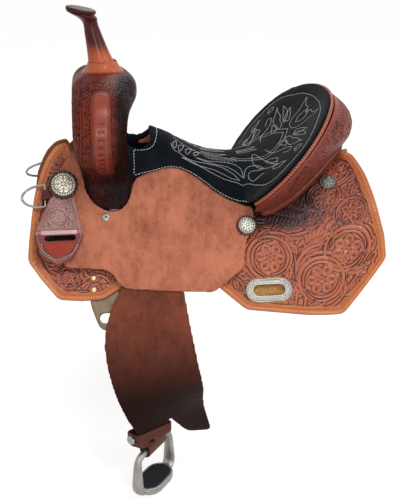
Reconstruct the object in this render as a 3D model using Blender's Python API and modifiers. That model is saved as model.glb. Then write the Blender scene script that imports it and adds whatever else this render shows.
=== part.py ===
"""Barrel racing saddle: the construction of its tree, leathers, rigging and stirrups, in metres.

+X runs to the rear, +Z is up and -Y is the rider's left, the near side. The origin lies on the
spine line, under the middle of the fleece, where a rack or a horse's back carries the saddle.
"""

from math import cos, degrees, pi, radians, sin, tan

import bmesh
import bpy
from mathutils import Matrix, Vector

# Clearances
GAP = 0.0003
RUN = 0.0006

# Side surface: an arch over the spine that turns to a straight slope
SPINE_SLOPE = radians(25)
SIDE_SLOPE = radians(54)
TURN_LENGTH = 0.155
REAR_ROCK_START = 0.145
REAR_ROCK = 1.5
FRONT_FLAT_START = -0.190
FRONT_FLAT_LENGTH = 0.040

# Leather thicknesses
FLEECE = 0.014
FLEECE_RISE = 0.0057
SKIRT = 0.005
STRAP = 0.0034
FENDER = 0.0038
JOCKEY = 0.0038
COVER = 0.0035
KEEPER = 0.005
ROSETTE = 0.003
DEE_STRAP = 0.003

# Seat
PAD_EDGE = 0.0034
PAD_CROWN = 0.009
GROUND_SEAT = 0.0035
SEAT_LAP = 0.005
HOLE_LENGTH = 0.040
HOLE_WIDTH = 0.092
HOLE_CENTRE_X = -0.109

# Cantle
RIM_TOP_X = 0.2195
RIM_TOP_Z = 0.1565
RIM_HALF_WIDTH = 0.172
RIM_LENGTH = 0.0962
RIM_DROP = 0.0943
RIM_END = radians(125)
BINDING_RADIUS = 0.003
ROLL_RADIUS = 0.0075
BOARD = 0.009
REAR_BULGE = 0.030
SIDE_BULGE = 0.014

# Fork and horn
FORK_SQUARENESS = 2.5
POST_INSET = 0.0038
CAP_LENGTH = 0.051
CAP_WIDTH = 0.050
CAP_THICKNESS = 0.0085
CAP_TILT = radians(11)
CAP_BEVEL = 0.003
CAP_X = -0.1975
CAP_Z = 0.2965
HORN_TOP = (0.0238, 0.0228)
POST_ROOT = (-0.003, 0, 0.022)
COLLAR_RADIUS = 0.0365
COLLAR_BEVEL = 0.0015
COLLAR_HEIGHT = 0.014
COLLAR_SHOULDER = (0.005, 0.0115)
COLLAR_RIM = 0.0078
COLLAR_EDGE = 0.006
COLLAR_DEPTH = 0.012

# Fender and stirrup leather
HINGE_X = -0.1057
HINGE_S = 0.165
HANG_X = -0.1005
BEND_START = 0.350
BEND_LENGTH = 0.060
HANG_SLOPE = radians(80)
TWIST_START = 0.360
TWIST_END = 0.466
FENDER_TWIST = radians(34)
NECK_TWIST = radians(21)
NECK_START = 0.470
NECK_LENGTH = 0.0115
STRAP_WIDTH = 0.055
STRAP_CENTRE_X = -0.1125
STRAP_DROP = 0.0012
STRAP_DROP_LENGTH = 0.02
STRAP_TOP_SHARE = 0.72
BAR_S = 0.4885
BAR_RADIUS = 0.006

# Hobble strap
HOBBLE_S = 0.466
HOBBLE_X = -0.1175
HOBBLE_HALF = 0.0338
HOBBLE_WIDTH = 0.019
HOBBLE = 0.0026
BUCKLE_LENGTH = 0.020
BUCKLE_WIDTH = 0.014
BUCKLE_THICKNESS = 0.003

# Stirrup
STIRRUP_LENGTH = 0.110
STIRRUP_HEIGHT = 0.080
STIRRUP_BAND = 0.009
STIRRUP_DEPTH = 0.021
TREAD_DEPTH = 0.046
TREAD_THICKNESS = 0.008
TREAD_SIDE = 0.015
PAD_THICKNESS = 0.005
PAD_RIM = 0.004

# Metal fittings
FRONT_CONCHO_RADIUS = 0.0205
SMALL_CONCHO_RADIUS = 0.0145
CONCHO_DOME = 0.0045
FRONT_ROSETTE_RADIUS = 0.0255
SMALL_ROSETTE_RADIUS = 0.018
FRONT_CONCHO = (-0.239, 0.052)
JOCKEY_CONCHO = (0.066, 0.133)
REAR_CONCHO = (0.219, 0.060)
JOCKEY_SCREW = (-0.171, 0.108)
SCREW_RADIUS = 0.007
DEE_WIRE = 0.0025
DEE_HALF_HEIGHT = 0.019
DEE_REACH = 0.040
DEE_X = -0.2705
DEE_S = 0.066
DEE_TILT = radians(12)
DEE_SHOULDER = 0.003
DEE_STRAP_WIDTH = 0.020
DEE_STRAP_START = 0.016
DEE_STRAP_STRAIGHT = 0.012
DEE_STRAP_TAIL = 0.005
DEE_STRAP_SWEEP = 0.028
REAR_PLATE = (0.0975, 0.2435)
REAR_PLATE_LENGTH = 0.080
REAR_PLATE_WIDTH = 0.042
REAR_SLOT_LENGTH = 0.055
REAR_SLOT_WIDTH = 0.020
PLATE = 0.003
FRONT_PLATE_X = -0.162
FRONT_PLATE_TOP = 0.196
FRONT_PLATE_BOTTOM = 0.297
FRONT_PLATE_WIDTH = 0.082
FRONT_PLATE = 0.006
FRONT_PLATE_TAPER = 0.046
FRONT_PLATE_FOOT = 0.62
FRONT_PLATE_CORNER = 0.014
FRONT_SLOT_LENGTH = 0.052
FRONT_SLOT_WIDTH = 0.017
FRONT_SLOT_S = 0.276
RIVETS = ((-0.196, 0.2085), (-0.196, 0.2285))
RIVET_RADIUS = 0.0048
RIVET_HEIGHT = 0.0024
KEEPER_SLOT_LENGTH = 0.052
KEEPER_SLOT_WIDTH = 0.0095
KEEPER_SLOT = (-0.248, 0.143)
KEEPER_HEAD = (0.022, 0.020)
KEEPER_HEAD_ANGLES = (170, 130, 90, 50, 10)
BAR_FRONT_HEIGHT = 0.024
BAR_SEAT_HEIGHT = 0.010
BAR_FALL_START = -0.07
BAR_FALL_LENGTH = 0.11

# Levels above the inner face of the skirt
STRAP_LEVEL = SKIRT + RUN
FENDER_LEVEL = STRAP_LEVEL + STRAP + GAP
JOCKEY_LEVEL = FENDER_LEVEL + FENDER + RUN
JOCKEY_TOP = JOCKEY_LEVEL + JOCKEY
DEE_STRAP_LEVEL = JOCKEY_TOP + GAP
DEE_STRAP_TOP = DEE_STRAP_LEVEL + DEE_STRAP
KEEPER_LEVEL = DEE_STRAP_TOP + RUN
ROSETTE_LEVEL = {"near": KEEPER_LEVEL + KEEPER + GAP, "off": DEE_STRAP_TOP + GAP}
PAD_LEVEL = JOCKEY_TOP + 5 * GAP
SPINE_Z = FLEECE + GAP + FLEECE_RISE

# Outlines on the side surface: (x, distance down the leather from the spine), front to rear
SKIRT_OUTLINE = (
    (-0.232, -0.034), (-0.252, -0.026), (-0.267, -0.004), (-0.277, 0.020), (-0.289, 0.060),
    (-0.295, 0.100),
    (-0.300, 0.141), (-0.303, 0.174), (-0.282, 0.206), (-0.254, 0.242), (-0.216, 0.246),
    (-0.180, 0.245), (-0.150, 0.227), (0.006, 0.227), (0.057, 0.274), (0.221, 0.297),
    (0.300, 0.230), (0.301, 0.190), (0.293, 0.124), (0.285, 0.073), (0.279, 0.048),
    (0.271, 0.018), (0.258, 0.0012), (0.205, 0.0012), (0.188, 0.024), (-0.215, 0.024),
)
FLEECE_OUTLINE = (
    (-0.246, 0.020), (-0.275, 0.052), (-0.289, 0.100), (-0.296, 0.172), (-0.252, 0.232),
    (-0.212, 0.234), (-0.212, 0.188), (-0.112, 0.188), (-0.104, 0.220), (0.010, 0.220),
    (0.060, 0.267), (0.217, 0.290), (0.293, 0.226), (0.286, 0.124), (0.272, 0.050),
    (0.252, 0.008), (0.210, 0.008), (0.190, 0.028), (-0.212, 0.028),
)
JOCKEY_FRONT_OUTLINE = (
    (-0.206, 0.026), (-0.214, -0.004), (-0.222, -0.014), (-0.236, 0.006), (-0.253, 0.032),
    (-0.262, 0.056), (-0.263, 0.090), (-0.260, 0.150), (-0.241, 0.191), (-0.175, 0.198),
    (-0.163, 0.207), (-0.154, 0.224), (-0.143, 0.232), (-0.087, 0.238), (0.003, 0.245),
    (0.056, 0.205), (0.063, 0.160),
)
JOCKEY_REAR_OUTLINE = ((0.070, 0.148), (0.080, 0.128), (0.080, 0.099))
JOCKEY_NOTCH_TOP = (-0.121, 0.044)
FORK_NOTCH = (
    (-0.126, 0.062), (-0.131, 0.079), (-0.143, 0.094), (-0.157, 0.099), (-0.173, 0.095),
    (-0.190, 0.082), (-0.202, 0.060),
)
BAR_OUTLINE = (
    (-0.198, 0.030), (-0.204, 0.060), (-0.204, 0.128), (-0.180, 0.133), (0.052, 0.133),
    (0.066, 0.104), (0.098, 0.083), (0.138, 0.053), (0.168, 0.030),
)
FENDER_OUTLINE = (
    (-0.112, 0.146), (-0.130, 0.165), (-0.146, 0.205), (-0.152, 0.232), (-0.167, 0.257),
    (-0.180, 0.296), (-0.183, 0.326), (-0.180, 0.358), (-0.172, 0.393), (-0.161, 0.432),
    (-0.149, 0.457), (-0.1475, 0.4695), (-0.088, 0.4695), (-0.0865, 0.447), (-0.069, 0.466),
    (-0.047, 0.489), (0.007, 0.507), (-0.017, 0.434), (-0.030, 0.365), (-0.039, 0.302),
    (-0.046, 0.243), (-0.056, 0.205), (-0.071, 0.165), (-0.090, 0.146),
)
KEEPER_OUTLINE = (
    (-0.222, 0.072), (-0.211, 0.132), (-0.209, 0.143), (-0.228, 0.178), (-0.254, 0.190),
    (-0.282, 0.171), (-0.289, 0.141), (-0.289, 0.131), (-0.261, 0.072),
)

# Lower edge of the seat on the jockey, and the ridge over it: (x, s) and (x, z)
SEAT_EDGE = (
    (-0.126, 0.044), (-0.098, 0.035), (-0.064, 0.026), (-0.040, 0.029),
    (-0.015, 0.045), (0.012, 0.069), (0.040, 0.088), (0.066, 0.096),
)
EDGE_RISE = (78, 74, 66, 60, 58, 58, 58, 57)
SEAT_RIDGE = (
    (-0.126, 0.106), (-0.100, 0.103), (-0.065, 0.087), (-0.042, 0.073), (-0.016, 0.057),
    (0.012, 0.048), (0.040, 0.045), (0.065, 0.0455), (0.079, 0.0475), (0.094, 0.051),
    (0.118, 0.058),
    (0.145, 0.074), (0.172, 0.098), (0.197, 0.127), (RIM_TOP_X, RIM_TOP_Z),
)
RIM_STATIONS = (122, 108, 90, 70, 52, 34)
SEAT_JOIN = 0.35

# Foot of the cantle on the side surface: angle round the rim, x, s
CANTLE_FOOT = (
    (0, 0.250, -0.006), (10, 0.2485, 0.0), (20, 0.243, 0.0075), (35, 0.227, 0.020),
    (60, 0.187, 0.056), (85, 0.149, 0.086), (105, 0.114, 0.106), (120, 0.094, 0.112),
)

# Where the hanging leathers are divided along their length
STRAP_ROWS = (0.16, 0.25)
HANG_ROWS = (0.350, 0.360, 0.371, 0.382, 0.393, 0.404, 0.415, 0.426, 0.437, 0.448, 0.458, 0.466)
NECK_ROWS = (0.470, 0.473, 0.476, 0.479, 0.4815)

# Fork: y and z of its centre line, then centre x, half width and half depth
FORK_STATIONS = (
    (0.0925, -0.0235, -0.1565, 0.007, 0.0075), (0.0885, -0.0175, -0.1585, 0.0215, 0.010),
    (0.082, -0.0075, -0.162, 0.032, 0.012), (0.074, 0.006, -0.1645, 0.0365, 0.0135),
    (0.071, 0.028, -0.167, 0.039, 0.016), (0.084, 0.056, -0.170, 0.041, 0.0215),
    (0.106, 0.084, -0.174, 0.0425, 0.029), (0.121, 0.112, -0.1755, 0.0435, 0.035),
    (0.112, 0.138, -0.174, 0.045, 0.037), (0.083, 0.155, -0.171, 0.048, 0.036),
    (0.044, 0.162, -0.167, 0.052, 0.036), (0.0, 0.163, -0.164, 0.056, 0.036),
)

# Horn neck: centre x, z, half length, half width, tilt in degrees
HORN_STATIONS = (
    (-0.1655, 0.1930, 0.0238, 0.0238, 0), (-0.1665, 0.2070, 0.0225, 0.0225, 2),
    (-0.1720, 0.2300, 0.0185, 0.0180, 6), (-0.1780, 0.2550, 0.0150, 0.0148, 8),
    (-0.1822, 0.2730, 0.0130, 0.0135, 10), (-0.1870, 0.2815, 0.0165, 0.0160, 12),
    (-0.1935, 0.2880, 0.0225, 0.0215, 11),
)

SIDES = (("near", -1), ("off", 1))

COLOURS = {
    "tooled_leather": ((0.30, 0.09, 0.035), 0.42, 0.0),
    "fork_leather": ((0.13, 0.025, 0.018), 0.32, 0.0),
    "rough_leather": ((0.27, 0.10, 0.06), 0.85, 0.0),
    "fender_leather": ((0.10, 0.035, 0.022), 0.85, 0.0),
    "dark_leather": ((0.09, 0.018, 0.016), 0.38, 0.0),
    "roll_leather": ((0.33, 0.08, 0.025), 0.30, 0.0),
    "black_suede": ((0.012, 0.015, 0.020), 0.95, 0.0),
    "rawhide": ((0.62, 0.42, 0.20), 0.60, 0.0),
    "fleece": ((0.72, 0.48, 0.20), 0.95, 0.0),
    "silver": ((0.75, 0.72, 0.62), 0.30, 1.0),
    "steel": ((0.50, 0.50, 0.50), 0.35, 1.0),
    "brass": ((0.80, 0.62, 0.30), 0.30, 1.0),
    "aluminium": ((0.66, 0.64, 0.60), 0.42, 1.0),
    "rubber": ((0.015, 0.017, 0.020), 0.70, 0.0),
}


def clear_scene():
    for obj in list(bpy.data.objects):
        bpy.data.objects.remove(obj, do_unlink=True)


def new_collection(name):
    collection = bpy.data.collections.new(name)
    bpy.context.scene.collection.children.link(collection)
    return collection


def material(name, slot):
    colour, roughness, metallic = COLOURS[slot]
    made = bpy.data.materials.new(name)
    made.use_nodes = True
    shader = made.node_tree.nodes["Principled BSDF"]
    shader.inputs["Base Color"].default_value = (*colour, 1.0)
    shader.inputs["Roughness"].default_value = roughness
    shader.inputs["Metallic"].default_value = metallic
    return made


def smooth(value):
    """A step from 0 to 1 with level ends."""
    value = min(max(value, 0.0), 1.0)
    return value * value * (3 - 2 * value)


def spline(points, samples):
    """Points evenly spaced in parameter on a Catmull-Rom curve through the given ones."""
    points = [Vector(point) for point in points]
    ends = [2 * points[0] - points[1], *points, 2 * points[-1] - points[-2]]
    found = []
    for i in range(samples):
        at = i / (samples - 1) * (len(points) - 1)
        k = min(int(at), len(points) - 2)
        t = at - k
        a, b, c, d = ends[k : k + 4]
        found.append(
            0.5 * (2 * b + t * (c - a) + t * t * (2 * a - 5 * b + 4 * c - d)
                   + t * t * t * (3 * b - a - 3 * c + d))
        )
    return found


def at_angle(rows, angle):
    """Linear reading of a table whose first column is an angle in degrees."""
    angle = abs(angle) * 180 / pi
    for (a, *low), (b, *high) in zip(rows, rows[1:]):
        if angle <= b or b == rows[-1][0]:
            part = min(max((angle - a) / (b - a), 0.0), 1.05)
            return [u + (v - u) * part for u, v in zip(low, high)]


def rounded(outline, radius, steps=3):
    """The outline with each corner cut to a short curve, as an edge knife leaves it."""
    found = []
    for i, here in enumerate(outline):
        here = Vector(here)
        before = Vector(outline[i - 1]) - here
        after = Vector(outline[(i + 1) % len(outline)]) - here
        reach = min(radius, 0.45 * before.length, 0.45 * after.length)
        start = here + before.normalized() * reach
        end = here + after.normalized() * reach
        if before.angle(-after) < radians(12):
            found.append(here)
            continue
        for k in range(steps + 1):
            t = k / steps
            found.append((1 - t) ** 2 * start + 2 * t * (1 - t) * here + t * t * end)
    return found


# Surfaces, in the off half: y grows outwards from the spine

TURN_RADIUS = TURN_LENGTH / (SIDE_SLOPE - SPINE_SLOPE)
TURN_Y = TURN_RADIUS * (sin(SIDE_SLOPE) - sin(SPINE_SLOPE))
TURN_Z = -TURN_RADIUS * (cos(SPINE_SLOPE) - cos(SIDE_SLOPE))


def arch(s):
    if s >= TURN_LENGTH:
        return flat(s)
    slope = SPINE_SLOPE + s / TURN_RADIUS
    y = TURN_RADIUS * (sin(slope) - sin(SPINE_SLOPE))
    return y, -TURN_RADIUS * (cos(SPINE_SLOPE) - cos(slope)), slope


def flat(s):
    run = s - TURN_LENGTH
    return TURN_Y + run * cos(SIDE_SLOPE), TURN_Z - run * sin(SIDE_SLOPE), SIDE_SLOPE


def side_point(x, s, t):
    """A point t above the skirt's inner face, s down the leather from the spine line."""
    share = smooth((FRONT_FLAT_START - x) / FRONT_FLAT_LENGTH)
    y, z, slope = (a + (b - a) * share for a, b in zip(arch(s), flat(s)))
    rise = REAR_ROCK * max(0.0, x - REAR_ROCK_START) ** 2
    return Vector((x, y + t * sin(slope), SPINE_Z + rise + z + t * cos(slope)))


def flap_point(x, s, t):
    """The same on the plane that the jockey, fender and keeper lie along."""
    y, z, slope = flat(s)
    return Vector((x, y + t * sin(slope), SPINE_Z + z + t * cos(slope)))


def flap_height(point):
    """How far a point lies above the flap plane."""
    base = flap_point(0, TURN_LENGTH, 0)
    return (point.y - base.y) * sin(SIDE_SLOPE) + (point.z - base.z) * cos(SIDE_SLOPE)


def hang_frame(s, neck=False):
    """Centre, width direction and outward normal of the hanging leather at s."""
    y, z, slope = flat(min(s, BEND_START))
    bent = min(max(s - BEND_START, 0.0), BEND_LENGTH)
    turn = (HANG_SLOPE - SIDE_SLOPE) / BEND_LENGTH
    slope = SIDE_SLOPE + bent * turn
    y += (sin(slope) - sin(SIDE_SLOPE)) / turn
    z -= (cos(SIDE_SLOPE) - cos(slope)) / turn
    rest = max(s - BEND_START - BEND_LENGTH, 0.0)
    y += rest * cos(slope)
    z -= rest * sin(slope)
    twist = FENDER_TWIST * smooth((s - TWIST_START) / (TWIST_END - TWIST_START))
    if neck:
        twist += NECK_TWIST * smooth((s - NECK_START) / NECK_LENGTH)
    width = Vector((cos(twist), -sin(twist), 0))
    normal = Vector((sin(twist) * sin(slope), cos(twist) * sin(slope), cos(slope)))
    return Vector((HANG_X, y, SPINE_Z + z)), width, normal


def hang_point(x, s, t):
    centre, width, normal = hang_frame(s)
    return centre + (x - HANG_X) * width + t * normal


def rim_point(angle):
    """The upper edge of the seat round the cantle, from 0 at the top centre."""
    turn = 1 - cos(angle)
    return Vector((
        RIM_TOP_X - RIM_LENGTH * turn ** 0.947,
        RIM_HALF_WIDTH * sin(angle),
        RIM_TOP_Z - RIM_DROP * turn ** 1.105,
    ))


def dish_direction(angle):
    """From the rim down into the seat."""
    return Vector((
        -0.62 * cos(angle),
        -0.9 * sin(angle),
        -(0.75 * cos(angle) + 0.10 * abs(sin(angle))),
    )).normalized()


def rim_normal(angle):
    """Upwards from the seat leather at the rim."""
    along = rim_point(angle + 0.02) - rim_point(angle - 0.02)
    return along.cross(dish_direction(angle)).normalized()


def rim_out(angle):
    return Vector((cos(angle), sin(angle), 0))


def cantle_foot(angle, t, inward=0.0):
    """A point of the side surface along the foot of the cantle, moved towards the horn side."""
    x, s = at_angle(CANTLE_FOOT, angle)
    turn = abs(angle)
    ahead = Vector(at_angle(CANTLE_FOOT, turn + 0.1)) - Vector(
        at_angle(CANTLE_FOOT, max(turn - 0.1, 0))
    )
    kept = min(1.0, turn / radians(17))
    ahead.x *= kept
    ahead.normalize()
    foot = side_point(x - ahead.y * inward, s + ahead.x * inward, t)
    foot.z += foot.y * (1 - kept) * tan(SPINE_SLOPE)
    foot.y *= kept * (1 if angle >= 0 else -1)
    return foot


def cantle_point(angle, w, inset=0.0):
    """The back of the cantle: w is 0 under the binding and 1 on the roll."""
    top = rim_point(angle) - rim_normal(angle) * (PAD_EDGE + 2 * BINDING_RADIUS + 3 * GAP)
    foot = cantle_foot(angle, SKIRT + 2 * GAP + 2 * ROLL_RADIUS)
    bulge = REAR_BULGE + (SIDE_BULGE - REAR_BULGE) * smooth(abs(angle) / radians(85))
    out = rim_out(angle)
    return top.lerp(foot, w) + out * (bulge * 4 * w * (1 - w) - inset)


# Builders

def finish(mesh, name, slot, collection, smooth_angle=40):
    mesh.shade_smooth()
    mesh.set_sharp_from_angle(angle=radians(smooth_angle))
    obj = bpy.data.objects.new(name, mesh)
    obj.data.materials.append(material(name, slot))
    collection.objects.link(obj)
    return obj


def mesh_from(shape, name, slot, collection, smooth_angle=40):
    bmesh.ops.remove_doubles(shape, verts=shape.verts, dist=1e-7)
    bmesh.ops.recalc_face_normals(shape, faces=shape.faces)
    mesh = bpy.data.meshes.new(name)
    shape.to_mesh(mesh)
    shape.free()
    return finish(mesh, name, slot, collection, smooth_angle)


def loft(name, rings, slot, collection, loop=False, smooth_angle=40):
    """Skins rings of equal count, with a face on each end, or joined end to start."""
    shape = bmesh.new()
    rows = [[shape.verts.new(point) for point in ring] for ring in rings]
    pairs = list(zip(rows, rows[1:]))
    if loop:
        pairs.append((rows[-1], rows[0]))
    for low, high in pairs:
        for i in range(len(low)):
            k = (i + 1) % len(low)
            shape.faces.new((low[i], low[k], high[k], high[i]))
    if not loop:
        shape.faces.new(rows[0])
        shape.faces.new(rows[-1])
    return mesh_from(shape, name, slot, collection, smooth_angle)


def sheet(name, outline, low, high, slot, collection, side, cuts=(), rows=()):
    """A flat outline with an upper and a lower surface, each a function of (x, s)."""
    shape = bmesh.new()
    face = shape.faces.new([shape.verts.new((x, s, 0)) for x, s in outline])
    for axis, places in ((0, cuts), (1, rows)):
        for place in places:
            point = [0, 0, 0]
            normal = [0, 0, 0]
            point[axis] = place
            normal[axis] = 1
            bmesh.ops.bisect_plane(
                shape, geom=shape.verts[:] + shape.edges[:] + shape.faces[:],
                plane_co=point, plane_no=normal,
            )
    bottom = shape.verts[:]
    grown = bmesh.ops.extrude_face_region(shape, geom=shape.faces[:], use_keep_orig=True)
    top = [item for item in grown["geom"] if isinstance(item, bmesh.types.BMVert)]
    for verts, surface in ((bottom, low), (top, high)):
        for vert in verts:
            point = surface(vert.co.x, vert.co.y)
            vert.co = (point.x, point.y * side, point.z)
    return mesh_from(shape, name, slot, collection)


def level(surface, t):
    return lambda x, s: surface(x, s, t)


def steps(start, end, pitch):
    count = max(1, round((end - start) / pitch))
    return [start + (end - start) * i / count for i in range(count + 1)]


def helper(obj, cutters):
    """Turns an object into a cutter that neither the view nor the build takes as a piece."""
    for collection in list(obj.users_collection):
        collection.objects.unlink(obj)
    cutters.objects.link(obj)
    obj.hide_render = True
    obj.display_type = "WIRE"
    return obj


def pivot(obj, point):
    """Moves an object's origin to a point of its joint's axis."""
    obj.data.transform(Matrix.Translation(-point))
    obj.location = point


def cut(obj, cutter, name="cut"):
    modifier = obj.modifiers.new(name, "BOOLEAN")
    modifier.operation = "DIFFERENCE"
    modifier.solver = "EXACT"
    modifier.object = cutter


def flap_matrix(x, s, t, side, turn=0.0, surface=flap_point):
    """Places a piece modelled round +Z on the side of the saddle, its +Y up the slope."""
    origin = surface(x, s, t)
    across = (surface(x + 0.01, s, t) - surface(x - 0.01, s, t)).normalized()
    out = (surface(x, s - 0.01, t) - surface(x, s + 0.01, t)).cross(across).normalized()
    up = across.cross(out)
    for vector in (origin, across, up, out):
        vector.y *= side
    matrix = Matrix((across, up, out)).transposed().to_4x4()
    return Matrix.Translation(origin) @ matrix @ Matrix.Rotation(turn, 4, "Z")


def turned(name, profile, slot, collection, matrix, count=20):
    """A turned piece from a profile of (radius, height), top to bottom."""
    mesh = bpy.data.meshes.new(name)
    points = [(r, 0, z) for r, z in profile]
    mesh.from_pydata(points, [(i, i + 1) for i in range(len(points) - 1)], [])
    obj = finish(mesh, name, slot, collection)
    obj.matrix_world = matrix
    modifier = obj.modifiers.new("turn", "SCREW")
    modifier.steps = count
    modifier.render_steps = count
    modifier.use_merge_vertices = True
    modifier.merge_threshold = 0.00001
    return obj


def outline_solid(name, outline, thickness, slot, collection, matrix):
    """A flat outline of (x, y) extruded from z = 0 up to its thickness."""
    shape = bmesh.new()
    shape.faces.new([shape.verts.new((x, y, 0)) for x, y in outline])
    grown = bmesh.ops.extrude_face_region(shape, geom=shape.faces[:], use_keep_orig=True)
    for item in grown["geom"]:
        if isinstance(item, bmesh.types.BMVert):
            item.co.z = thickness
    shape.transform(matrix)
    return mesh_from(shape, name, slot, collection)


def stadium(length, width, count=8):
    """A slot outline, long way along x."""
    radius = width / 2
    half = length / 2 - radius
    points = []
    for i in range(count + 1):
        angle = -pi / 2 + pi * i / count
        points.append((half + radius * cos(angle), radius * sin(angle)))
    for i in range(count + 1):
        angle = pi / 2 + pi * i / count
        points.append((-half + radius * cos(angle), radius * sin(angle)))
    return points


def tube(name, points, radius, slot, collection, cyclic=False, resolution=1):
    """A round strand along the points, made a mesh with its caps welded."""
    curve = bpy.data.curves.new(name, "CURVE")
    curve.dimensions = "3D"
    curve.bevel_depth = radius
    curve.bevel_resolution = resolution
    curve.use_fill_caps = not cyclic
    line = curve.splines.new("POLY")
    line.points.add(len(points) - 1)
    for place, point in zip(line.points, points):
        place.co = (*point, 1)
    line.use_cyclic_u = cyclic
    drawn = bpy.data.objects.new(name + "_line", curve)
    bpy.context.scene.collection.objects.link(drawn)
    graph = bpy.context.evaluated_depsgraph_get()
    mesh = bpy.data.meshes.new_from_object(drawn.evaluated_get(graph))
    bpy.data.objects.remove(drawn, do_unlink=True)
    shape = bmesh.new()
    shape.from_mesh(mesh)
    bmesh.ops.remove_doubles(shape, verts=shape.verts, dist=1e-6)
    bpy.data.meshes.remove(mesh)
    return mesh_from(shape, name, slot, collection)


# Sub-parts

def slot_cutter(name, x, s, length, width, surface, side, cutters, turn=0.0):
    matrix = flap_matrix(x, s, -0.03, side, turn, surface)
    obj = outline_solid(name, stadium(length, width), 0.08, "steel", cutters, matrix)
    return helper(obj, cutters)


def skirts(saddle, cutters):
    rows = steps(-0.002, TURN_LENGTH, 0.0225)
    cuts = [FRONT_FLAT_START - FRONT_FLAT_LENGTH * i / 5 for i in range(6)]
    cuts += steps(REAR_ROCK_START, 0.285, 0.028)
    for word, side in SIDES:
        skirt = sheet(
            word + "_skirt", rounded(SKIRT_OUTLINE, 0.008, 2), level(side_point, 0),
            level(side_point, SKIRT), "tooled_leather", saddle, side, cuts, rows,
        )
        cutter = slot_cutter(
            word + "_billet_slot", *REAR_PLATE, REAR_SLOT_LENGTH, REAR_SLOT_WIDTH,
            side_point, side, cutters,
        )
        cut(skirt, cutter)
        sheet(
            word + "_fleece", rounded(FLEECE_OUTLINE, 0.006, 2),
            level(side_point, -2 * GAP - FLEECE), level(side_point, -2 * GAP), "fleece", saddle,
            side, cuts, rows,
        )
        rigging(word, side, saddle, cutters)


def rigging(word, side, saddle, cutters):
    place = flap_matrix(*REAR_PLATE, SKIRT + GAP, side, surface=side_point)
    plate = outline_solid(
        word + "_rear_rigging_plate", stadium(REAR_PLATE_LENGTH, REAR_PLATE_WIDTH, 10),
        PLATE, "silver", saddle, place,
    )
    cut(plate, slot_cutter(
        word + "_plate_slot", *REAR_PLATE, REAR_SLOT_LENGTH - 0.001,
        REAR_SLOT_WIDTH - 0.001, side_point, side, cutters,
    ))
    half = FRONT_PLATE_WIDTH / 2
    shoulder = FRONT_PLATE_BOTTOM - FRONT_PLATE_TAPER
    outline = rounded((
        (-half, FRONT_PLATE_TOP), (half, FRONT_PLATE_TOP), (half, shoulder),
        (half * FRONT_PLATE_FOOT, FRONT_PLATE_BOTTOM),
        (-half * FRONT_PLATE_FOOT, FRONT_PLATE_BOTTOM), (-half, shoulder),
    ), FRONT_PLATE_CORNER, 4)
    front = sheet(
        word + "_front_rigging_plate", [(FRONT_PLATE_X + x, s) for x, s in outline],
        level(flap_point, -GAP - FRONT_PLATE), level(flap_point, -GAP), "silver",
        saddle, side,
    )
    cut(front, slot_cutter(
        word + "_latigo_slot", FRONT_PLATE_X, FRONT_SLOT_S, FRONT_SLOT_LENGTH,
        FRONT_SLOT_WIDTH, flap_point, side, cutters,
    ))
    for number, (x, s) in enumerate(RIVETS, 1):
        r = RIVET_RADIUS
        profile = [(0, RIVET_HEIGHT), (r * 0.6, RIVET_HEIGHT * 0.8), (r, 0), (0, 0)]
        place = flap_matrix(x, s, SKIRT + GAP, side)
        turned(f"{word}_rigging_rivet_{number}", profile, "brass", saddle, place, 12)


def bar_top(x, s):
    """The top of a tree bar: under the jockey, or under the ground seat near the spine."""
    base = side_point(x, s, SKIRT + GAP)
    lift = side_point(x, s, SKIRT + GAP + 0.001) - base
    room = JOCKEY_LEVEL - GAP - flap_height(base)
    t = room / (flap_height(base + lift) - flap_height(base)) * 0.001
    fall = smooth((x - BAR_FALL_START) / BAR_FALL_LENGTH)
    most = BAR_FRONT_HEIGHT - (BAR_FRONT_HEIGHT - BAR_SEAT_HEIGHT) * fall
    return side_point(x, s, SKIRT + GAP + min(t, most))


def tree_bars(saddle, envelope):
    for word, side in SIDES:
        bar = sheet(
            word + "_tree_bar", rounded(BAR_OUTLINE, 0.010, 2),
            level(side_point, SKIRT + 2 * GAP), bar_top, "rawhide", saddle, side,
            cuts=(-0.198, FRONT_FLAT_START, -0.13, -0.07, -0.03, 0.0, 0.04, 0.09,
                  REAR_ROCK_START),
            rows=(0.045, 0.06, 0.08, 0.10, 0.118),
        )
        cut(bar, envelope)


def jockey_outline():
    top = [(x, s - SEAT_LAP * smooth((0.066 - x) / 0.04)) for x, s in SEAT_EDGE[1:]]
    inner = [*reversed(FORK_NOTCH), JOCKEY_NOTCH_TOP, *top]
    return [*JOCKEY_FRONT_OUTLINE, *JOCKEY_REAR_OUTLINE, *reversed(inner)]


def seat_jockeys(saddle, cutters, envelope):
    for word, side in SIDES:
        jockey = sheet(
            word + "_seat_jockey", rounded(jockey_outline(), 0.007, 2),
            level(flap_point, JOCKEY_LEVEL), level(flap_point, JOCKEY_TOP),
            "rough_leather", saddle, side,
        )
        x, s = JOCKEY_SCREW
        r = SCREW_RADIUS
        shank = r * 0.4
        hole = flap_matrix(x, s, JOCKEY_LEVEL - 0.002, side)
        cutter = turned(
            word + "_screw_hole", [(0, 0.02), (shank + GAP, 0.02), (shank + GAP, 0), (0, 0)],
            "steel", cutters, hole, 12,
        )
        cut(jockey, helper(cutter, cutters))
        cut(jockey, envelope, "fork")
        profile = [
            (0, 0.0022), (r * 0.35, 0.0022), (r * 0.8, 0.0018), (r, GAP), (shank, GAP),
            (shank, GAP - JOCKEY), (0, GAP - JOCKEY),
        ]
        place = flap_matrix(x, s, JOCKEY_TOP, side)
        turned(word + "_jockey_screw", profile, "silver", saddle, place, 12)


def concho(name, radius, saddle, place):
    dome = CONCHO_DOME
    profile = [
        (0, dome), (radius * 0.3, dome * 0.95), (radius * 0.62, dome * 0.75),
        (radius * 0.86, dome * 0.42), (radius, 0.0009), (radius, 0), (0, 0),
    ]
    turned(name, profile, "silver", saddle, place, 16)


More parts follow.
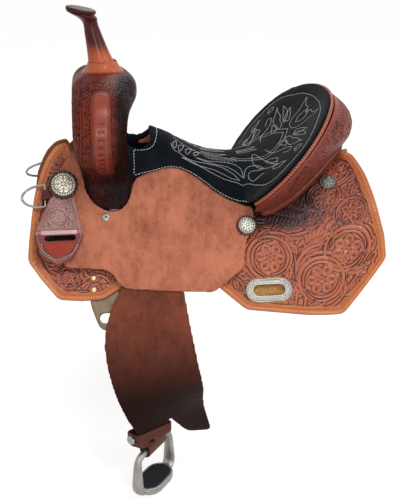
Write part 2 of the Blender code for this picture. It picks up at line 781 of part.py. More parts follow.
def rosette(name, radius, scallops, saddle, place):
    outline = []
    for i in range(scallops * 2):
        angle = pi * i / scallops
        reach = radius * (1 if i % 2 else 0.93)
        outline.append((reach * cos(angle), reach * sin(angle)))
    outline_solid(name, outline, ROSETTE, "dark_leather", saddle, place)


def conchos(saddle):
    for word, side in SIDES:
        base = ROSETTE_LEVEL[word]
        place = flap_matrix(*FRONT_CONCHO, base, side)
        rosette(word + "_front_rosette", FRONT_ROSETTE_RADIUS, 16, saddle, place)
        place = flap_matrix(*FRONT_CONCHO, base + ROSETTE + GAP, side)
        concho(word + "_front_concho", FRONT_CONCHO_RADIUS, saddle, place)
        place = flap_matrix(*JOCKEY_CONCHO, JOCKEY_TOP + GAP, side)
        rosette(word + "_jockey_rosette", SMALL_ROSETTE_RADIUS, 12, saddle, place)
        place = flap_matrix(*JOCKEY_CONCHO, JOCKEY_TOP + 2 * GAP + ROSETTE, side)
        concho(word + "_jockey_concho", SMALL_CONCHO_RADIUS, saddle, place)
        place = flap_matrix(*REAR_CONCHO, SKIRT + 3 * GAP, side, surface=side_point)
        concho(word + "_rear_concho", SMALL_CONCHO_RADIUS, saddle, place)


def dee_rings(saddle):
    """The near and off dee rings, each with the strap that holds its straight bar."""
    loop = DEE_WIRE + RUN
    bar_level = DEE_STRAP_LEVEL - loop
    for word, side in SIDES:
        ring = [(0, DEE_HALF_HEIGHT), (0, 0), (0, -DEE_HALF_HEIGHT)]
        arc = DEE_REACH - DEE_WIRE
        for i in range(1, 12):
            angle = -pi / 2 - pi * i / 12
            ring.append((
                arc * cos(angle) - DEE_SHOULDER,
                DEE_HALF_HEIGHT * 1.02 * sin(angle),
            ))
        place = flap_matrix(DEE_X, DEE_S, bar_level, side)
        tilt = Matrix.Rotation(-DEE_TILT, 4, "Y")
        points = [place @ tilt @ Vector((x, y, 0)) for x, y in ring]
        ring = tube(word + "_dee_ring", points, DEE_WIRE, "steel", saddle, cyclic=True)
        pivot(ring, place.translation)
        path = []
        for i in range(9):
            angle = pi / 2 + pi * i / 8
            path.append((DEE_X + (loop + DEE_STRAP / 2) * cos(angle),
                         (loop + DEE_STRAP / 2) * sin(angle), angle))
        strap(word, side, path, bar_level, saddle)


def strap(word, side, turn, bar_level, saddle):
    """The dee strap: from under the concho, round the ring's bar and back beneath itself."""
    half = DEE_STRAP / 2
    over = turn[0][1]
    run = [(FRONT_CONCHO[0] + DEE_STRAP_START, over), (DEE_X + DEE_STRAP_STRAIGHT, over)]
    top = [(x, h + half) for x, h in run]
    top += [(x + half * cos(a), h + half * sin(a)) for x, h, a in turn]
    low = [(x, h - half) for x, h in run]
    inner = [(x - half * cos(a), h - half * sin(a)) for x, h, a in turn]
    end = turn[-1]
    last = DEE_X + DEE_STRAP_TAIL
    tail = [(last, end[1] - half), (last, end[1] + half)]
    section = top + tail + list(reversed(inner)) + list(reversed(low))
    rings = []
    for part in (-1, 1):
        row = []
        for x, h in section:
            share = smooth((x - DEE_X) / DEE_STRAP_SWEEP)
            s = DEE_S + (FRONT_CONCHO[1] - DEE_S) * share
            half_width = DEE_STRAP_WIDTH * (5 + 2 * share) / 12
            point = flap_point(x, s + part * half_width, bar_level + h)
            row.append((point.x, point.y * side, point.z))
        rings.append(row)
    loft(word + "_dee_strap", rings, "dark_leather", saddle)


def latigo_keeper(saddle, cutters):
    """The kite-shaped keeper that hangs from the near front concho."""
    x, s = FRONT_CONCHO
    around = []
    for angle in KEEPER_HEAD_ANGLES:
        across, along = KEEPER_HEAD
        around.append((x + across * cos(radians(angle)), s - along * sin(radians(angle))))
    outline = rounded(KEEPER_OUTLINE, 0.004, 2) + [Vector(point) for point in around]
    local = [(px - x, s - ps) for px, ps in outline]
    place = flap_matrix(x, s, KEEPER_LEVEL, -1)
    keeper = outline_solid("latigo_keeper", local, KEEPER, "dark_leather", saddle, place)
    cutter = slot_cutter(
        "keeper_slot", *KEEPER_SLOT, KEEPER_SLOT_LENGTH, KEEPER_SLOT_WIDTH,
        flap_point, -1, cutters,
    )
    pivot(keeper, place.translation)
    cut(keeper, cutter)


def fork_section(station, inset, angle):
    centre, tangent, xc, width, depth = station
    power = 2 / FORK_SQUARENESS
    across = abs(cos(angle)) ** power * (1 if cos(angle) > 0 else -1)
    along = abs(sin(angle)) ** power * (1 if sin(angle) > 0 else -1)
    out = Vector((0, -tangent.z, tangent.y))
    return Vector((xc, centre.y, centre.z)) + Vector(
        ((width - inset) * across, 0, 0)
    ) + out * ((depth - inset) * along)


def fork_stations(samples):
    half = [Vector(row[:3]) for row in FORK_STATIONS]
    sizes = [Vector((row[3], row[4], 0)) for row in FORK_STATIONS]
    both = half + [Vector((-p.x, p.y, p.z)) for p in reversed(half[:-1])]
    sizes += list(reversed(sizes[:-1]))
    line = spline(both, samples)
    widths = spline(sizes, samples)
    found = []
    for i, point in enumerate(line):
        a = line[max(i - 1, 0)]
        b = line[min(i + 1, samples - 1)]
        tangent = Vector((0, b.x - a.x, b.y - a.y)).normalized()
        found.append((Vector((0, point.x, point.y)), -tangent, point.z,
                      widths[i].x, widths[i].y))
    return found


def fork(saddle, cutters):
    """The swell fork: a wooden core, and leather open along the gullet."""
    stations = fork_stations(29)
    whole = [radians(a) for a in range(0, 360, 20)]
    core = [[fork_section(row, COVER + 3 * GAP, a) for a in whole] for row in stations[1:-1]]
    tree = loft("tree_fork", core, "rawhide", saddle)
    envelope = [[fork_section(row, -1.5 * GAP, a) for a in whole] for row in stations]
    for ring, row, sign in ((envelope[0], stations[0], -1), (envelope[-1], stations[-1], 1)):
        for i, point in enumerate(ring):
            ring[i] = point - row[1] * sign * 2 * GAP
    cutter = helper(loft("fork_envelope", envelope, "rawhide", cutters), cutters)
    lapped = [radians(a) for a in range(-40, 221, 20)]
    rings = []
    for row in stations:
        ring = [fork_section(row, 0, a) for a in lapped]
        ring += [fork_section(row, COVER, a) for a in reversed(lapped)]
        rings.append(ring)
    cover = loft("fork_cover", rings, "fork_leather", saddle)
    return tree, cover, cutter


def horn_ring(station, inset, count=18):
    x, z, length, width, tilt = station
    tilt = radians(tilt)
    found = []
    for i in range(count):
        angle = 2 * pi * i / count
        along = (length - inset) * cos(angle)
        found.append(Vector((
            x + along * cos(tilt), (width - inset) * sin(angle), z - along * sin(tilt),
        )))
    return found


def horn_stations():
    """The neck's stations, the last one just under the cap."""
    drop = CAP_THICKNESS / 2 + GAP
    x = CAP_X - drop * sin(CAP_TILT)
    z = CAP_Z - drop * cos(CAP_TILT)
    return (*HORN_STATIONS, (x, z, *HORN_TOP, degrees(CAP_TILT)))


def horn(saddle, cutters, tree, cover, envelope):
    """Steel post, leather round it, a cap on top and a collar at its foot."""
    count = 18
    stations = horn_stations()
    post_rings = [horn_ring(row, POST_INSET, 12) for row in stations]
    root = Vector(POST_ROOT)
    below = [point - root for point in post_rings[0]]
    post = loft("horn_post", [below, *post_rings], "steel", saddle)
    hole_rings = [horn_ring(row, POST_INSET - GAP, 12) for row in stations[:3]]
    bottom = [point - root - Vector((0, 0, GAP)) for point in hole_rings[0]]
    hole = helper(loft("post_hole", [bottom, *hole_rings], "steel", cutters), cutters)
    cut(tree, hole)
    cut(cover, hole)
    rings = []
    outer = [horn_ring(row, 0, count) for row in stations]
    inner = [horn_ring(row, POST_INSET - GAP, count) for row in stations]
    for i in range(count):
        rings.append([row[i] for row in outer] + [row[i] for row in reversed(inner)])
    wrap = loft("horn_wrap", rings, "fork_leather", saddle, loop=True)
    cut(wrap, envelope)
    collar = []
    x, z, bore = HORN_STATIONS[0][:3]
    bore += GAP
    shoulder, shoulder_height = COLLAR_SHOULDER
    profile = (
        (bore, COLLAR_HEIGHT), (bore + shoulder, shoulder_height),
        (COLLAR_RADIUS - COLLAR_BEVEL, COLLAR_RIM), (COLLAR_RADIUS, COLLAR_EDGE),
        (COLLAR_RADIUS, -COLLAR_DEPTH), (bore, -COLLAR_DEPTH),
    )
    for i in range(count):
        angle = 2 * pi * i / count
        way = Vector((cos(angle), sin(angle), 0))
        collar.append([Vector((x, 0, z)) + way * r + Vector((0, 0, h)) for r, h in profile])
    ring = loft("horn_collar", collar, "roll_leather", saddle, loop=True)
    cut(ring, envelope)
    place = Matrix.Translation((CAP_X, 0, CAP_Z)) @ Matrix.Rotation(CAP_TILT, 4, "Y")
    place = place @ Matrix.Diagonal((1, CAP_WIDTH / CAP_LENGTH, 1, 1))
    r = CAP_LENGTH / 2
    half = CAP_THICKNESS / 2
    bevel = CAP_BEVEL
    profile = [
        (0, half), (r - bevel, half), (r - bevel * 0.3, half - bevel * 0.35),
        (r, half - bevel), (r, -half + bevel), (r - bevel * 0.3, -half + bevel * 0.35),
        (r - bevel, -half), (0, -half),
    ]
    turned("horn_cap", profile, "fork_leather", saddle, place, 24)


def seat_curve(index, samples):
    """Half a cross-section of the pad's underside, from the ridge out to the edge."""
    x, z = SEAT_RIDGE[index]
    crown = Vector((x, 0, z - PAD_CROWN))
    if index == len(SEAT_RIDGE) - 1:
        last = radians(RIM_STATIONS[-1])
        return [rim_point(last * v) - rim_normal(last * v) * PAD_EDGE for v in samples]
    low = min(index, len(SEAT_EDGE) - 1)
    edge_x, s = SEAT_EDGE[low]
    edge = flap_point(edge_x, s, PAD_LEVEL)
    rise = radians(EDGE_RISE[low])
    inward = Vector((0, -cos(rise), sin(rise)))
    reach = 0.42
    if index >= len(SEAT_EDGE):
        past = index - len(SEAT_EDGE)
        angle = radians(RIM_STATIONS[max(past - 1, 0)])
        share = SEAT_JOIN if past == 0 else 1.0
        edge = edge.lerp(rim_point(angle) - rim_normal(angle) * PAD_EDGE, share)
        inward = inward.lerp(dish_direction(angle), share).normalized()
        reach = 0.36
    first = crown + Vector((0, edge.y * 0.42, 0))
    second = edge + inward * edge.y * reach
    found = []
    for v in samples:
        u = 1 - v
        found.append(
            u ** 3 * crown + 3 * u * u * v * first + 3 * u * v * v * second + v ** 3 * edge
        )
    return found


def seat_grid(rows, half):
    """A grid of points over the pad's underside, with a normal at each."""
    samples = [smooth(0.15 + 0.35 * i / half) / smooth(0.5) for i in range(half + 1)]
    samples = [(v - samples[0]) / (1 - samples[0]) for v in samples]
    lines = [seat_curve(i, samples) for i in range(len(SEAT_RIDGE))]
    columns = [spline([line[k] for line in lines], rows) for k in range(half + 1)]
    grid = []
    for r in range(rows):
        off = [columns[k][r] for k in range(half + 1)]
        grid.append([Vector((p.x, -p.y, p.z)) for p in reversed(off[1:])] + off)
    normals = []
    for r in range(rows):
        line = []
        for k in range(2 * half + 1):
            along = grid[min(r + 1, rows - 1)][k] - grid[max(r - 1, 0)][k]
            across = grid[r][min(k + 1, 2 * half)] - grid[r][max(k - 1, 0)]
            line.append(along.cross(across).normalized())
        normals.append(line)
    return grid, normals


def seat_shell(name, grid, normals, low, high, slot, saddle):
    """A closed skin between two heights over the grid, each a function of row and column."""
    rings = []
    for r, line in enumerate(grid):
        top = [p + normals[r][k] * high(r, k) for k, p in enumerate(line)]
        under = [p + normals[r][k] * low(r, k) for k, p in enumerate(line)]
        rings.append(top + list(reversed(under)))
    return loft(name, rings, slot, saddle, smooth_angle=60)


def seat(saddle, cutters, envelope):
    """The padded suede seat, its edges drawn in by the stitching, and the ground seat."""
    rows, half = 21, 8
    grid, normals = seat_grid(rows, half)

    def padding(r, k):
        edge = 1 - abs(k - half) / half
        front = r / (rows - 1)
        near_edge = min(edge * 3.2, front * 8, (1 - front) * 5, 1.0)
        return PAD_EDGE + (PAD_CROWN - PAD_EDGE) * smooth(near_edge)

    pad = seat_shell(
        "seat_pad", grid, normals, lambda r, k: 0.0, padding, "black_suede", saddle,
    )
    rows_under = [line[2:-2] for line in grid[1 : rows - 3]]
    normals_under = [line[2:-2] for line in normals[1 : rows - 3]]
    under = seat_shell(
        "ground_seat", rows_under, normals_under,
        lambda r, k: -4 * GAP - GROUND_SEAT, lambda r, k: -4 * GAP, "rough_leather", saddle,
    )
    hole = outline_solid(
        "hand_hole", [(-y, x) for x, y in stadium(HOLE_WIDTH, HOLE_LENGTH, 6)], 0.2,
        "steel", cutters, Matrix.Translation((HOLE_CENTRE_X, 0, 0)),
    )
    helper(hole, cutters)
    for obj in (pad, under):
        cut(obj, hole, "hand hole")
        cut(obj, envelope, "fork")


def cantle(saddle):
    """Board, tooled back, binding and roll round the rear of the seat."""
    angles = [RIM_END * (i / 13 - 1) for i in range(27)]
    back = []
    board = []
    for angle in angles:
        levels = [0.02, 0.15, 0.32, 0.5, 0.68, 0.84, 0.97]
        outer = [cantle_point(angle, w) for w in levels]
        inner = [cantle_point(angle, w, COVER) for w in reversed(levels)]
        back.append(outer + inner)
    loft("cantle_back", back, "tooled_leather", saddle)
    for angle in angles[1:-1]:
        levels = (0.15, 0.32, 0.5, 0.68, 0.84)
        outer = [cantle_point(angle, w, COVER + 5 * GAP) for w in levels]
        inner = [
            cantle_point(angle, w, COVER + 5 * GAP + BOARD * (0.5 + 0.5 * smooth(w / 0.5)))
            for w in reversed(levels)
        ]
        clear = ROLL_RADIUS + 3 * GAP
        foot = [
            cantle_foot(angle, SKIRT + 2 * ROLL_RADIUS, clear),
            cantle_foot(angle, SKIRT + 2 * GAP, clear),
            cantle_foot(angle, SKIRT + 2 * GAP, clear + BOARD),
            cantle_foot(angle, SKIRT + 2 * ROLL_RADIUS, clear + BOARD),
        ]
        board.append(outer + foot + inner)
    loft("tree_cantle", board, "rawhide", saddle)
    edge = []
    roll = []
    for angle in angles:
        drop = PAD_EDGE + BINDING_RADIUS + GAP
        edge.append(rim_point(angle) - rim_normal(angle) * drop)
        roll.append(cantle_foot(angle, SKIRT + 2 * GAP + ROLL_RADIUS))
    tube("cantle_binding", edge, BINDING_RADIUS, "fork_leather", saddle)
    tube("cantle_roll", roll, ROLL_RADIUS, "roll_leather", saddle, resolution=2)


def strap_frames():
    """Frames down the stirrup leather, round the stirrup's bar and up behind it."""
    frames = []
    for s in (*STRAP_ROWS, *HANG_ROWS, *NECK_ROWS, BAR_S):
        centre, width, normal = hang_frame(s, neck=True)
        offset = STRAP_CENTRE_X - HANG_X
        share = smooth((s - HINGE_S) / (TWIST_START - HINGE_S))
        middle = STRAP_LEVEL + STRAP / 2 - STRAP_DROP * smooth((s - BEND_START) / STRAP_DROP_LENGTH)
        frames.append((centre + width * offset * share + normal * middle, width, normal))
    front = frames[:-1]
    centre, width, normal = frames[-1]
    turn_radius = BAR_RADIUS + RUN + STRAP / 2
    axis = centre - normal * turn_radius
    down = normal.cross(width)
    for i in range(1, 9):
        angle = pi * i / 8
        out = normal * cos(angle) + down * sin(angle)
        frames.append((axis + out * turn_radius, width, out))
    for centre, across, out in reversed(front[-len(NECK_ROWS) - 4 :]):
        frames.append((centre - out * 2 * turn_radius, across, -out))
    return frames, axis, width, down


def hanging_leathers(saddle):
    """Fender, stirrup leather, hobble strap and buckle on each side."""
    frames, axis, width, down = strap_frames()
    for word, side in SIDES:
        hinge = flap_point(HINGE_X, HINGE_S, FENDER_LEVEL)
        hinge.y *= side
        fender = sheet(
            word + "_fender", rounded(FENDER_OUTLINE, 0.010, 2),
            level(hang_point, FENDER_LEVEL), level(hang_point, FENDER_LEVEL + FENDER),
            "fender_leather", saddle, side,
            rows=HANG_ROWS,
            cuts=(-0.165, -0.135, HANG_X, -0.06, -0.03),
        )
        rings = []
        for row, (centre, across, out) in enumerate(frames):
            wide = STRAP_WIDTH / 2 * (STRAP_TOP_SHARE if row == 0 else 1)
            ring = [
                centre + across * a + out * b
                for a, b in ((-wide, -STRAP / 2), (wide, -STRAP / 2),
                             (wide, STRAP / 2), (-wide, STRAP / 2))
            ]
            rings.append([(p.x, p.y * side, p.z) for p in ring])
        leather = loft(word + "_stirrup_leather", rings, "dark_leather", saddle)
        for obj in (fender, leather, *hobble(word, side, saddle)):
            pivot(obj, hinge)
    return axis, width, down


def hobble(word, side, saddle):
    """The strap buckled round the neck above the stirrup."""
    low = STRAP_LEVEL + STRAP - STRAP_DROP - 2 * (BAR_RADIUS + RUN + STRAP) - 3 * RUN
    high = FENDER_LEVEL + FENDER + 3 * GAP
    half = HOBBLE_HALF
    loops = []
    for grow in (0, HOBBLE):
        wide = half + grow
        corners = ((-wide, low - grow), (wide, low - grow), (wide, high + grow),
                   (-wide, high + grow))
        loops.append(rounded(corners, 0.005 + grow, 3))
    rings = []
    places = (-0.5, 0.2, 0.5)
    for inner, outer in zip(*loops):
        ring = []
        for place, shifts in ((inner, places), (outer, tuple(reversed(places)))):
            for shift in shifts:
                centre, across, out = hang_frame(HOBBLE_S + shift * HOBBLE_WIDTH, neck=True)
                spot = centre + across * (HOBBLE_X - HANG_X + place.x) + out * place.y
                ring.append((spot.x, spot.y * side, spot.z))
        rings.append(ring)
    band = loft(word + "_hobble_strap", rings, "dark_leather", saddle, loop=True)
    edge = HOBBLE_X - half - HOBBLE - RUN
    rings = []
    for depth in (0, BUCKLE_THICKNESS):
        ring = []
        for along, across in stadium(BUCKLE_LENGTH, BUCKLE_WIDTH, 3):
            spot = hang_point(edge - depth, HOBBLE_S + across, (low + high) / 2 + along)
            ring.append((spot.x, spot.y * side, spot.z))
        rings.append(ring)
    return band, loft(word + "_hobble_buckle", rings, "steel", saddle)


def stirrups(saddle, axis, width, down):
    """The metal stirrup, a ring on the leather with a deeper tread, and its rubber pad."""
    forward = Vector((-width.y, width.x, 0))
    half_length = STIRRUP_LENGTH / 2
    corner = STIRRUP_HEIGHT * 0.27
    middle = axis - Vector((0, 0, STIRRUP_HEIGHT / 2 - BAR_RADIUS))
    box = rounded((
        (-half_length, STIRRUP_HEIGHT / 2), (half_length, STIRRUP_HEIGHT / 2),
        (half_length, -STIRRUP_HEIGHT / 2), (-half_length, -STIRRUP_HEIGHT / 2),
    ), corner, 6)
    for word, side in SIDES:
        rings = []
        for i, point in enumerate(box):
            before = box[i - 1]
            after = box[(i + 1) % len(box)]
            run = (after - before).normalized()
            out = Vector((run.y, -run.x))
            if out.dot(point) < 0:
                out = -out
            high = smooth((point.y + STIRRUP_HEIGHT * 0.1) / (STIRRUP_HEIGHT * 0.55))
            thick = STIRRUP_BAND + (2 * BAR_RADIUS - STIRRUP_BAND) * high
            deep = STIRRUP_DEPTH + (2 * BAR_RADIUS - STIRRUP_DEPTH) * high
            ring = []
            for k in range(8):
                angle = 2 * pi * (k + 0.5) / 8
                bulk = 1.0 / max(abs(cos(angle)), abs(sin(angle)))
                bulk = 1 + (bulk - 1) * (1 - high) * 0.8
                inward = -thick / 2 + thick / 2 * bulk * cos(angle)
                spot = point + out * inward
                sideways = deep / 2 * bulk * sin(angle)
                place = middle + width * spot.x + Vector((0, 0, spot.y)) + forward * sideways
                ring.append((place.x, place.y * side, place.z))
            rings.append(ring)
        frame = loft(word + "_stirrup", rings, "aluminium", saddle, loop=True)
        pad = tread(word, side, frame, middle, width, forward, saddle)
        for obj in (frame, pad):
            pivot(obj, Vector((axis.x, axis.y * side, axis.z)))


def tread(word, side, frame, middle, width, forward, saddle):
    bottom = -STIRRUP_HEIGHT / 2
    length = STIRRUP_LENGTH - 2 * TREAD_SIDE

    def at(x, y, z):
        place = middle + width * x + forward * y + Vector((0, 0, z))
        return (place.x, place.y * side, place.z)

    def slab(name, long, wide, low, high, slot):
        outline = stadium(long, wide, 6)
        rings = [[at(x, y, z) for x, y in outline] for z in (low, high)]
        return loft(name, rings, slot, saddle)

    tray = slab(word + "_tread_tray", length, TREAD_DEPTH, bottom - 0.001,
                bottom + TREAD_THICKNESS + PAD_RIM, "aluminium")
    well = slab(word + "_tread_well", length - 2 * PAD_RIM, TREAD_DEPTH - 2 * PAD_RIM,
                bottom + TREAD_THICKNESS, bottom + 0.03, "aluminium")
    pad = slab(word + "_tread_pad", length - 2 * PAD_RIM - 2 * GAP,
               TREAD_DEPTH - 2 * PAD_RIM - 2 * GAP, bottom + TREAD_THICKNESS + GAP,
               bottom + TREAD_THICKNESS + GAP + PAD_THICKNESS, "rubber")
    cutters = bpy.data.collections["cutters"]
    helper(tray, cutters)
    helper(well, cutters)
    join = frame.modifiers.new("tread", "BOOLEAN")
    join.operation = "UNION"
    join.solver = "EXACT"
    join.object = tray
    cut(frame, well, "well")
    return pad


def main():
    clear_scene()
    saddle = new_collection("barrel_racing_saddle")
    cutters = new_collection("cutters")
    skirts(saddle, cutters)
    tree, cover, envelope = fork(saddle, cutters)
    tree_bars(saddle, envelope)
    seat_jockeys(saddle, cutters, envelope)
    horn(saddle, cutters, tree, cover, envelope)
    seat(saddle, cutters, envelope)
    cantle(saddle)
    axis, width, down = hanging_leathers(saddle)
    stirrups(saddle, axis, width, down)
    conchos(saddle)
    dee_rings(saddle)
    latigo_keeper(saddle, cutters)


main()
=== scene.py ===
"""Looks of a barrel racing saddle: carved and rough-out leather, stitched suede, fleece and metal.

Metres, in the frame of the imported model: +X to the rear, +Z up, -Y the near side. Sizes that
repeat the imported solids' keep their names and values; everything else is the surface on them.
"""

from math import cos, pi, radians, sin, sqrt, tan

import bmesh
import bpy
import numpy as np
from mathutils import Matrix, Vector
from mathutils.bvhtree import BVHTree
from mathutils.kdtree import KDTree


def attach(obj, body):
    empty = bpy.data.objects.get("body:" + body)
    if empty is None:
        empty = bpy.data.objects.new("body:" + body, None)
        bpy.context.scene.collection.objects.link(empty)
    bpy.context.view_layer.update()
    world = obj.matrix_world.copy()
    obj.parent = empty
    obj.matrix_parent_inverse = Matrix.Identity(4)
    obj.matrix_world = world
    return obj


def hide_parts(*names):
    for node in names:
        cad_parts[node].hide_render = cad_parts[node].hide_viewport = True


SIDES = (("near", -1), ("off", 1))

# Camera: the photograph's field of view, from the near side, swung towards the horn
LENS = 68.4
SENSOR = 36.0
CAMERA_DISTANCE = 1.75
CAMERA_AZIMUTH = radians(-6.5)
CAMERA_ELEVATION = radians(22.5)
CAMERA_TARGET = Vector((0, 0, -0.14))
WORLD_LIGHT = 0.5
FLOOR_Z = -0.452
# Name, place, size and power
LAMPS = (
    ("key", (0.35, -1.2, 2.1), 0.45, 21), ("front", (0.1, -2.3, 0.45), 0.6, 13),
    ("right", (1.8, -1.0, 1.0), 0.6, 9), ("back", (0.4, 1.7, 1.5), 0.9, 12),
)

# Side surface
SPINE_SLOPE = radians(25)
SIDE_SLOPE = radians(54)
TURN_LENGTH = 0.155
TURN_RADIUS = TURN_LENGTH / (SIDE_SLOPE - SPINE_SLOPE)
TURN_Y = TURN_RADIUS * (sin(SIDE_SLOPE) - sin(SPINE_SLOPE))
TURN_Z = -TURN_RADIUS * (cos(SPINE_SLOPE) - cos(SIDE_SLOPE))
REAR_ROCK_START = 0.145
REAR_ROCK = 1.5
FRONT_FLAT_START = -0.19
FRONT_FLAT_LENGTH = 0.04
SPINE_Z = 0.02

# Thicknesses and levels above the skirt's inner face
GAP = 0.0003
SKIRT = 0.005
COVER = 0.0035
KEEPER = 0.005
ROSETTE = 0.003
PLATE = 0.003
JOCKEY_TOP = 0.0175
DEE_STRAP_TOP = 0.0208
KEEPER_LEVEL = 0.0214
ROSETTE_LEVEL = {"near": KEEPER_LEVEL + KEEPER + GAP, "off": DEE_STRAP_TOP + GAP}

# Skirt outline: (x, distance down the leather from the spine)
SKIRT_OUTLINE = (
    (-0.232, -0.034), (-0.252, -0.026), (-0.267, -0.004), (-0.277, 0.02), (-0.289, 0.06),
    (-0.295, 0.1), (-0.3, 0.141), (-0.303, 0.174), (-0.282, 0.206), (-0.254, 0.242),
    (-0.216, 0.246), (-0.18, 0.245), (-0.15, 0.227), (0.006, 0.227), (0.057, 0.274),
    (0.221, 0.297), (0.3, 0.23), (0.301, 0.19), (0.293, 0.124), (0.285, 0.073),
    (0.279, 0.048), (0.271, 0.018), (0.258, 0.0012), (0.205, 0.0012), (0.188, 0.024),
    (-0.215, 0.024),
)
SKIRT_CORNER = 0.008
SKIRT_EDGE_BEND = 0.0016
# Its columns of points stand further apart between these two x, where it isn't carved
SKIRT_PLAIN = (-0.15, 0.02)
SKIRT_PITCHES = (0.0013, 0.006, 0.00112)
SKIRT_ROWS = 218
SKIRT_ROWS_UNDER = 16
REAR_PLATE = (0.0975, 0.2435)
REAR_PLATE_LENGTH = 0.08
REAR_PLATE_WIDTH = 0.042
REAR_SLOT_LENGTH = 0.055
REAR_SLOT_WIDTH = 0.02

# Fittings: (x, distance down the leather)
FRONT_CONCHO = (-0.239, 0.052)
FRONT_CONCHO_RADIUS = 0.0205
FRONT_ROSETTE_RADIUS = 0.0255
JOCKEY_CONCHO = (0.066, 0.133)
REAR_CONCHO = (0.219, 0.06)
SMALL_CONCHO_RADIUS = 0.0145
SMALL_ROSETTE_RADIUS = 0.018
CONCHO_DOME = 0.0045
ROSETTE_GROOVE = 0.0005
JOCKEY_SCREW = (-0.171, 0.108)
SCREW_RADIUS = 0.007
SCREW_HEIGHT = 0.0024
SCREW_RECESS = 0.0009
RIVETS = ((-0.196, 0.2085), (-0.196, 0.2285))
RIVET_RADIUS = 0.0048
RIVET_HEIGHT = 0.0024
TREAD_RIB_PITCH = 0.0042
TREAD_RIB_DEPTH = 0.001
TUFT = 0.0011
KEEPER_SLOT = (-0.248, 0.143)
KEEPER_SLOT_LENGTH = 0.052
KEEPER_SLOT_WIDTH = 0.0095
KEEPER_OUTLINE = (
    (-0.222, 0.072), (-0.211, 0.132), (-0.209, 0.143), (-0.228, 0.178), (-0.254, 0.19),
    (-0.282, 0.171), (-0.289, 0.141), (-0.289, 0.131), (-0.261, 0.072),
)
KEEPER_STRIP = ((-0.2785, 0.13), (-0.2195, 0.13), (-0.2195, 0.137), (-0.2785, 0.137))
KEEPER_WINDOW = (
    (-0.276, 0.1505), (-0.22, 0.1505), (-0.231, 0.167), (-0.253, 0.177), (-0.2705, 0.164),
)
WINDOW_ROW = (
    (-0.279, 0.151), (-0.276, 0.164), (-0.265, 0.1745), (-0.2535, 0.1805), (-0.24, 0.176),
    (-0.227, 0.169), (-0.2175, 0.153),
)

# Fork: y and z of its centre line, then centre x, half width and half depth
FORK_SQUARENESS = 2.5
FORK_ROWS = 480
FORK_AROUND = 172
FORK_EDGE_PITCH = 0.0015
FORK_STATIONS = (
    (0.0925, -0.0235, -0.1565, 0.007, 0.0075), (0.0885, -0.0175, -0.1585, 0.0215, 0.01),
    (0.082, -0.0075, -0.162, 0.032, 0.012), (0.074, 0.006, -0.1645, 0.0365, 0.0135),
    (0.071, 0.028, -0.167, 0.039, 0.016), (0.084, 0.056, -0.17, 0.041, 0.0215),
    (0.106, 0.084, -0.174, 0.0425, 0.029), (0.121, 0.112, -0.1755, 0.0435, 0.035),
    (0.112, 0.138, -0.174, 0.045, 0.037), (0.083, 0.155, -0.171, 0.048, 0.036),
    (0.044, 0.162, -0.167, 0.052, 0.036), (0.0, 0.163, -0.164, 0.056, 0.036),
)
FORK_LAP = (-40, 220)
# Its arched panels, by distance from the crown, and the crescents stamped in them
PANEL_TOP = 0.106
PANEL_FOOT = 0.298
PANEL_HALF = 0.017
PANEL_RAILS = (0.0, 0.0026, 0.0052)
CRESCENT_PITCH = 0.0135
CRESCENT_HALF = 0.0066
CRESCENT_BOW = 0.012
CRESCENT_START = 0.15

# Horn: centre x, z, half length, half width, tilt in degrees
HORN_STATIONS = (
    (-0.1655, 0.193, 0.0238, 0.0238, 0), (-0.1665, 0.207, 0.0225, 0.0225, 2),
    (-0.172, 0.23, 0.0185, 0.018, 6), (-0.178, 0.255, 0.015, 0.0148, 8),
    (-0.1822, 0.273, 0.013, 0.0135, 10), (-0.187, 0.2815, 0.0165, 0.016, 12),
    (-0.1935, 0.288, 0.0225, 0.0215, 11), (-0.1984, 0.292, 0.0238, 0.0228, 11),
)
CAP_X = -0.1975
CAP_Z = 0.2965
CAP_LENGTH = 0.051
CAP_WIDTH = 0.05
CAP_THICKNESS = 0.0085
CAP_TILT = radians(11)
POST_INSET = 0.0038
COLLAR_RADIUS = 0.0355
COLLAR_SCALLOP = 0.0012
COLLAR_CROWN = 0.0026
COLLAR_RISE = 0.0125

# Cantle
RIM_TOP_X = 0.2195
RIM_TOP_Z = 0.1565
RIM_HALF_WIDTH = 0.172
RIM_LENGTH = 0.0962
RIM_DROP = 0.0943
RIM_END = radians(125)
PAD_EDGE = 0.0034
BINDING_RADIUS = 0.003
ROLL_RADIUS = 0.0075
REAR_BULGE = 0.03
SIDE_BULGE = 0.014
CANTLE_COUNT = 660
CANTLE_LEVELS = 56
LACE_PITCH = 0.0052
LACE_STEP = 0.0011
# Its foot: degrees round from the rear, then x and distance down the leather
CANTLE_FOOT = (
    (0, 0.25, -0.006), (10, 0.2485, 0.0), (20, 0.243, 0.0075), (35, 0.227, 0.02),
    (60, 0.187, 0.056), (85, 0.149, 0.086), (105, 0.114, 0.106), (120, 0.094, 0.112),
)

# Seat: the sewn rows round its rim (x, y, z) and the hand hole (x, y)
EDGE_ROW = (
    (-0.119, 0.0485, 0.0693), (-0.119, 0.0567, 0.0577), (-0.1192, 0.063, 0.0465),
    (-0.119, 0.069, 0.0325), (-0.1066, 0.0672, 0.034), (-0.0929, 0.0648, 0.036),
    (-0.0756, 0.0622, 0.039), (-0.0583, 0.06, 0.042), (-0.0448, 0.0615, 0.04),
    (-0.0331, 0.0645, 0.037), (-0.0165, 0.0705, 0.0285), (-0.0004, 0.0795, 0.0185),
    (0.0158, 0.0875, 0.0072), (0.0323, 0.093, -0.003), (0.0487, 0.099, -0.0085),
    (0.0623, 0.103, -0.011), (0.0692, 0.111, -0.009),
)
HOLE_ROW = (
    (-0.119, 0.0485), (-0.108, 0.049), (-0.096, 0.0485), (-0.087, 0.045), (-0.081, 0.036),
    (-0.0775, 0.02), (-0.0765, 0.0),
)
